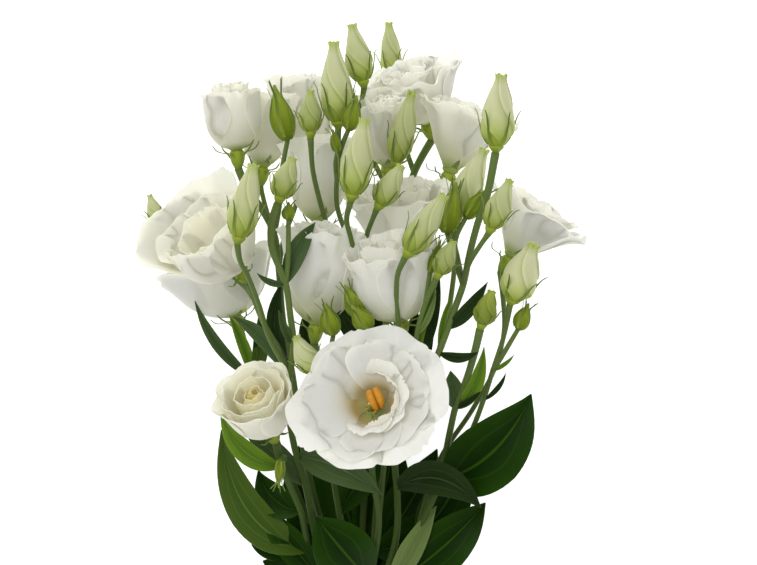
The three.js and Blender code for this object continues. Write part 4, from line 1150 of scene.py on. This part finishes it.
# Places on an anther and its filament: out from the axis, aside, and up.
FILAMENT = [(2.2, 0, 4.6), (3.6, 0, 7.5), (3.9, 0, 10)]
ANTHER = [(3.4, 1, 9.6), (4.1, 0.4, 10.8), (3.7, -0.6, 11.4), (3.1, -0.7, 10.5)]
FILAMENT_RADIUS = 0.28
ANTHER_RADIUS = 0.55

# Places on a lobe of the stigma: out, how far to the lobe's own side, aside, and up.
LOBE = [(2, 1.2, 3, 10.5), (2, 1.8, 1.5, 13.6), (2.2, 1.9, -2.2, 15.4), (2.4, 1.6, -5.6, 15.8)]

grained_finish("stigma_gold", (0.56, 0.20, 0.004), (0.76, 0.38, 0.015), (6, 5, 500), 0.0004,
               roughness=0.5, subsurface_weight=0.15, subsurface_scale=0.002)
grained_finish("ovary_green", (0.07, 0.14, 0.008), (0.20, 0.30, 0.02), (6, 3, 300), 0.0003,
               roughness=0.4)
grained_finish("anther_brown", (0.42, 0.17, 0.02), (0.70, 0.38, 0.05), (6, 8, 900), 0.0004,
               roughness=0.7)

skin = Skin()
stand = head_stand(BLOOMS["front"])


def in_throat(stops, step, turn=0.0):
    """A smooth line through places in the throat, turned round the axis."""
    c, d = math.cos(turn), math.sin(turn)
    return smooth_route([in_flower(stand, out * c - aside * d, out * d + aside * c, height)
                         for out, aside, height in stops], step)


ovary = in_throat(OVARY, 0.6)
share = np.linspace(0, 1, len(ovary))
skin.tube(ovary, 0.7 + 1.7 * np.sin(np.clip(share * 1.35, 0, 1) * math.pi) ** 0.8, 16, finish=1)
for side in (-1, 1):
    lobe = in_throat([(out + spread * side, aside, height) for out, spread, aside, height in LOBE],
                     0.5)
    share = np.linspace(0, 1, len(lobe))
    skin.tube(lobe, 1.0 + 0.95 * np.sin(share * math.pi * 0.85), 14, finish=0, tone=0.3)
for k in range(ANTHERS):
    turn = k / ANTHERS * 2 * math.pi + ANTHER_TURN
    filament = in_throat(FILAMENT, 0.7, turn)
    skin.tube(filament, np.full(len(filament), FILAMENT_RADIUS), 8, finish=1)
    anther = in_throat(ANTHER, 0.4, turn)
    skin.tube(anther, np.full(len(anther), ANTHER_RADIUS), 8, finish=2)
skin.piece("pistil_and_anthers", ["stigma_gold", "ovary_green", "anther_brown"],
           "pistil_front")


# Buds
# A bud is five petals furled round each other, so that their edges wind up it as low steps.
# It is lime green at its foot, cream above, and frilled and yellow-green at the tip.

BUD_FOLDS = 4
BUD_ROWS = 44
FOLD_PLACES = [0, 0.04, 0.15, 0.3, 0.45, 0.6, 0.75, 0.87, 0.96]
FOLD_STEP = 0.085
CROWN_START = 0.93
CROWN_FRILL = 0.035

# The lid that closes the tip of a bud: shares of the tip's width, and of the bud's length.
BUD_LID = [(0.72, -0.02), (0.45, -0.05), (0.1, -0.06)]

tree, shader = new_finish("bud_cream", roughness=0.55, specular_ior_level=0.2,
                          subsurface_weight=0.25, subsurface_scale=0.002,
                          subsurface_radius=(0.9, 1, 0.6))
grain = put_fibre(tree, 3, 5, 120)
height_up = put_mark(tree, "along")
ripe = put_ramp(tree, height_up, [
    (0, (0.22, 0.31, 0.02)), (0.1, (0.33, 0.42, 0.035)), (0.28, (0.54, 0.60, 0.21)),
    (0.48, (0.67, 0.69, 0.41)), (0.85, (0.70, 0.70, 0.48)), (1, (0.46, 0.54, 0.15)),
])
young = put_ramp(tree, height_up, [
    (0, (0.12, 0.17, 0.008)), (0.2, (0.16, 0.22, 0.01)), (0.5, (0.20, 0.26, 0.02)),
    (0.8, (0.29, 0.36, 0.05)), (1, (0.34, 0.43, 0.05)),
])
# Painted shadow where each fold tucks under the raised edge of the next, and a painted highlight
# along that edge.
painted_fold_shade_and_highlight = put_ramp(tree, put_mark(tree, "across"), [
    (0, (0.76, 0.81, 0.60)), (0.08, (0.88, 0.91, 0.78)), (0.3, (1.0, 1.0, 1.0)),
    (0.8, (0.96, 0.96, 0.92)), (0.93, (1.1, 1.08, 1.1)), (1, (1.0, 1.0, 1.0)),
])
bud_colour = put_mix(tree, put_mark(tree, "tone"), young, ripe)
bud_colour = put_mix(tree, times(tree, grain["Streak"], 0.2), bud_colour, (0.46, 0.54, 0.18))
bud_colour = put_mix(tree, 1.0, bud_colour, painted_fold_shade_and_highlight, "MULTIPLY")
paint(tree, shader, bud_colour, grain["Height"], 0.0005, 0.7)


def grow_bud(name, bud, number):
    """A furled bud, whose folds twist up it, each with its outer edge a step above the next."""
    rng = np.random.default_rng(500 + number)
    stand = head_stand(bud)
    reach = float(np.linalg.norm(np.subtract(bud["tip"], bud["base"])))
    share = np.linspace(0, 1, BUD_ROWS + 1)
    fold_turn = rng.uniform(0, 6.3)
    twist = rng.uniform(2.6, 3.4) * (1 - (1 - share) ** 1.9)
    phase = np.tile(FOLD_PLACES, BUD_FOLDS)
    shares = rng.uniform(0.6, 1.4, BUD_FOLDS)
    starts = np.concatenate([[0], np.cumsum(shares)]) / shares.sum()
    turn = np.concatenate([starts[k] + (starts[k + 1] - starts[k]) * np.array(FOLD_PLACES)
                           for k in range(BUD_FOLDS)]) * 2 * math.pi
    depth = FOLD_STEP * np.minimum(1, share * 6) * (1 - 0.3 * share)
    radius = bud_radius(bud, share)[:, None] * (1 + depth[:, None] * (phase - 0.5) * 2)
    angle = turn + fold_turn + twist[:, None]
    crown = np.clip((share - CROWN_START) / (1 - CROWN_START), 0, 1)[:, None]
    height = share[:, None] * reach + CROWN_FRILL / 2 * reach * crown * np.sin(turn * 5)
    x, y = radius * np.cos(angle), radius * np.sin(angle)
    lid = [in_flower(stand, x[-1] * narrow, y[-1] * narrow, height[-1] + drop * reach)
           for narrow, drop in BUD_LID]
    skin = Skin()
    skin.rings(np.concatenate([in_flower(stand, x, y, height), np.array(lid)]), across=phase,
               tone=bud["pale"], along=np.concatenate([share, np.full(len(BUD_LID), 0.98)]))
    skin.piece("furled_bud_" + name, ["bud_cream"], "bud_" + name)


for number, (name, bud) in enumerate(BUDS.items()):
    grow_bud(name, bud, number)


# Floor, light and camera
# The bunch lies on a white sweep under a large soft light, and the camera looks straight down
# at its upper part.

FLOOR_HALF = 3
FLOOR_DROP = 0.0005
LOOKED_AT = Vector((0, 0.05, 0.07))

# Place and size in metres, and power in watts.
LIGHTS = {
    "key": ((-0.7, 0.7, 2.0), 1.6, 21),
    "fill": ((1.1, -0.5, 1.8), 1.8, 4.5),
}

floor_mesh = bpy.data.meshes.new("floor")
floor_mesh.from_pydata([(x * FLOOR_HALF, y * FLOOR_HALF, -FLOOR_DROP)
                        for x, y in ((-1, -1), (1, -1), (1, 1), (-1, 1))], [], [(0, 1, 2, 3)])
floor = bpy.data.objects.new("floor", floor_mesh)
scene.collection.objects.link(floor)
new_finish("floor_white", roughness=0.9, base_color=(0.9, 0.9, 0.9, 1),
           emission_color=(1, 1, 1, 1), emission_strength=0.75)
floor_mesh.materials.append(SKIN_FINISHES["floor_white"])

for name, (place, size, power) in LIGHTS.items():
    lamp = bpy.data.lights.new(name, "AREA")
    lamp.size = size
    lamp.energy = power
    made = bpy.data.objects.new(name, lamp)
    made.location = place
    made.rotation_euler = (LOOKED_AT - made.location).to_track_quat("-Z", "Y").to_euler()
    scene.collection.objects.link(made)
world = bpy.data.worlds.new("studio")
world.use_nodes = True
world.node_tree.nodes["Background"].inputs["Color"].default_value = (1, 1, 1, 1)
world.node_tree.nodes["Background"].inputs["Strength"].default_value = 0.5
scene.world = world
scene.view_settings.view_transform = "Standard"

# The lens and its sensor, and the width, middle and depth of what the camera frames, all in mm.
FOCAL_LENGTH = 200
SENSOR_WIDTH = 36
VIEW_WIDTH = 378.5
VIEW_CENTRE = (7.75, 67.75)
VIEW_DEPTH = 75
lens = bpy.data.cameras.new("camera")
lens.lens = FOCAL_LENGTH
lens.sensor_width = SENSOR_WIDTH
camera = bpy.data.objects.new("camera", lens)
camera.location = (
    (VIEW_CENTRE[0] + MIDDLE_SHIFT) / 1000,
    VIEW_CENTRE[1] / 1000,
    (VIEW_DEPTH + VIEW_WIDTH * FOCAL_LENGTH / SENSOR_WIDTH) / 1000,
)
scene.collection.objects.link(camera)
scene.camera = camera
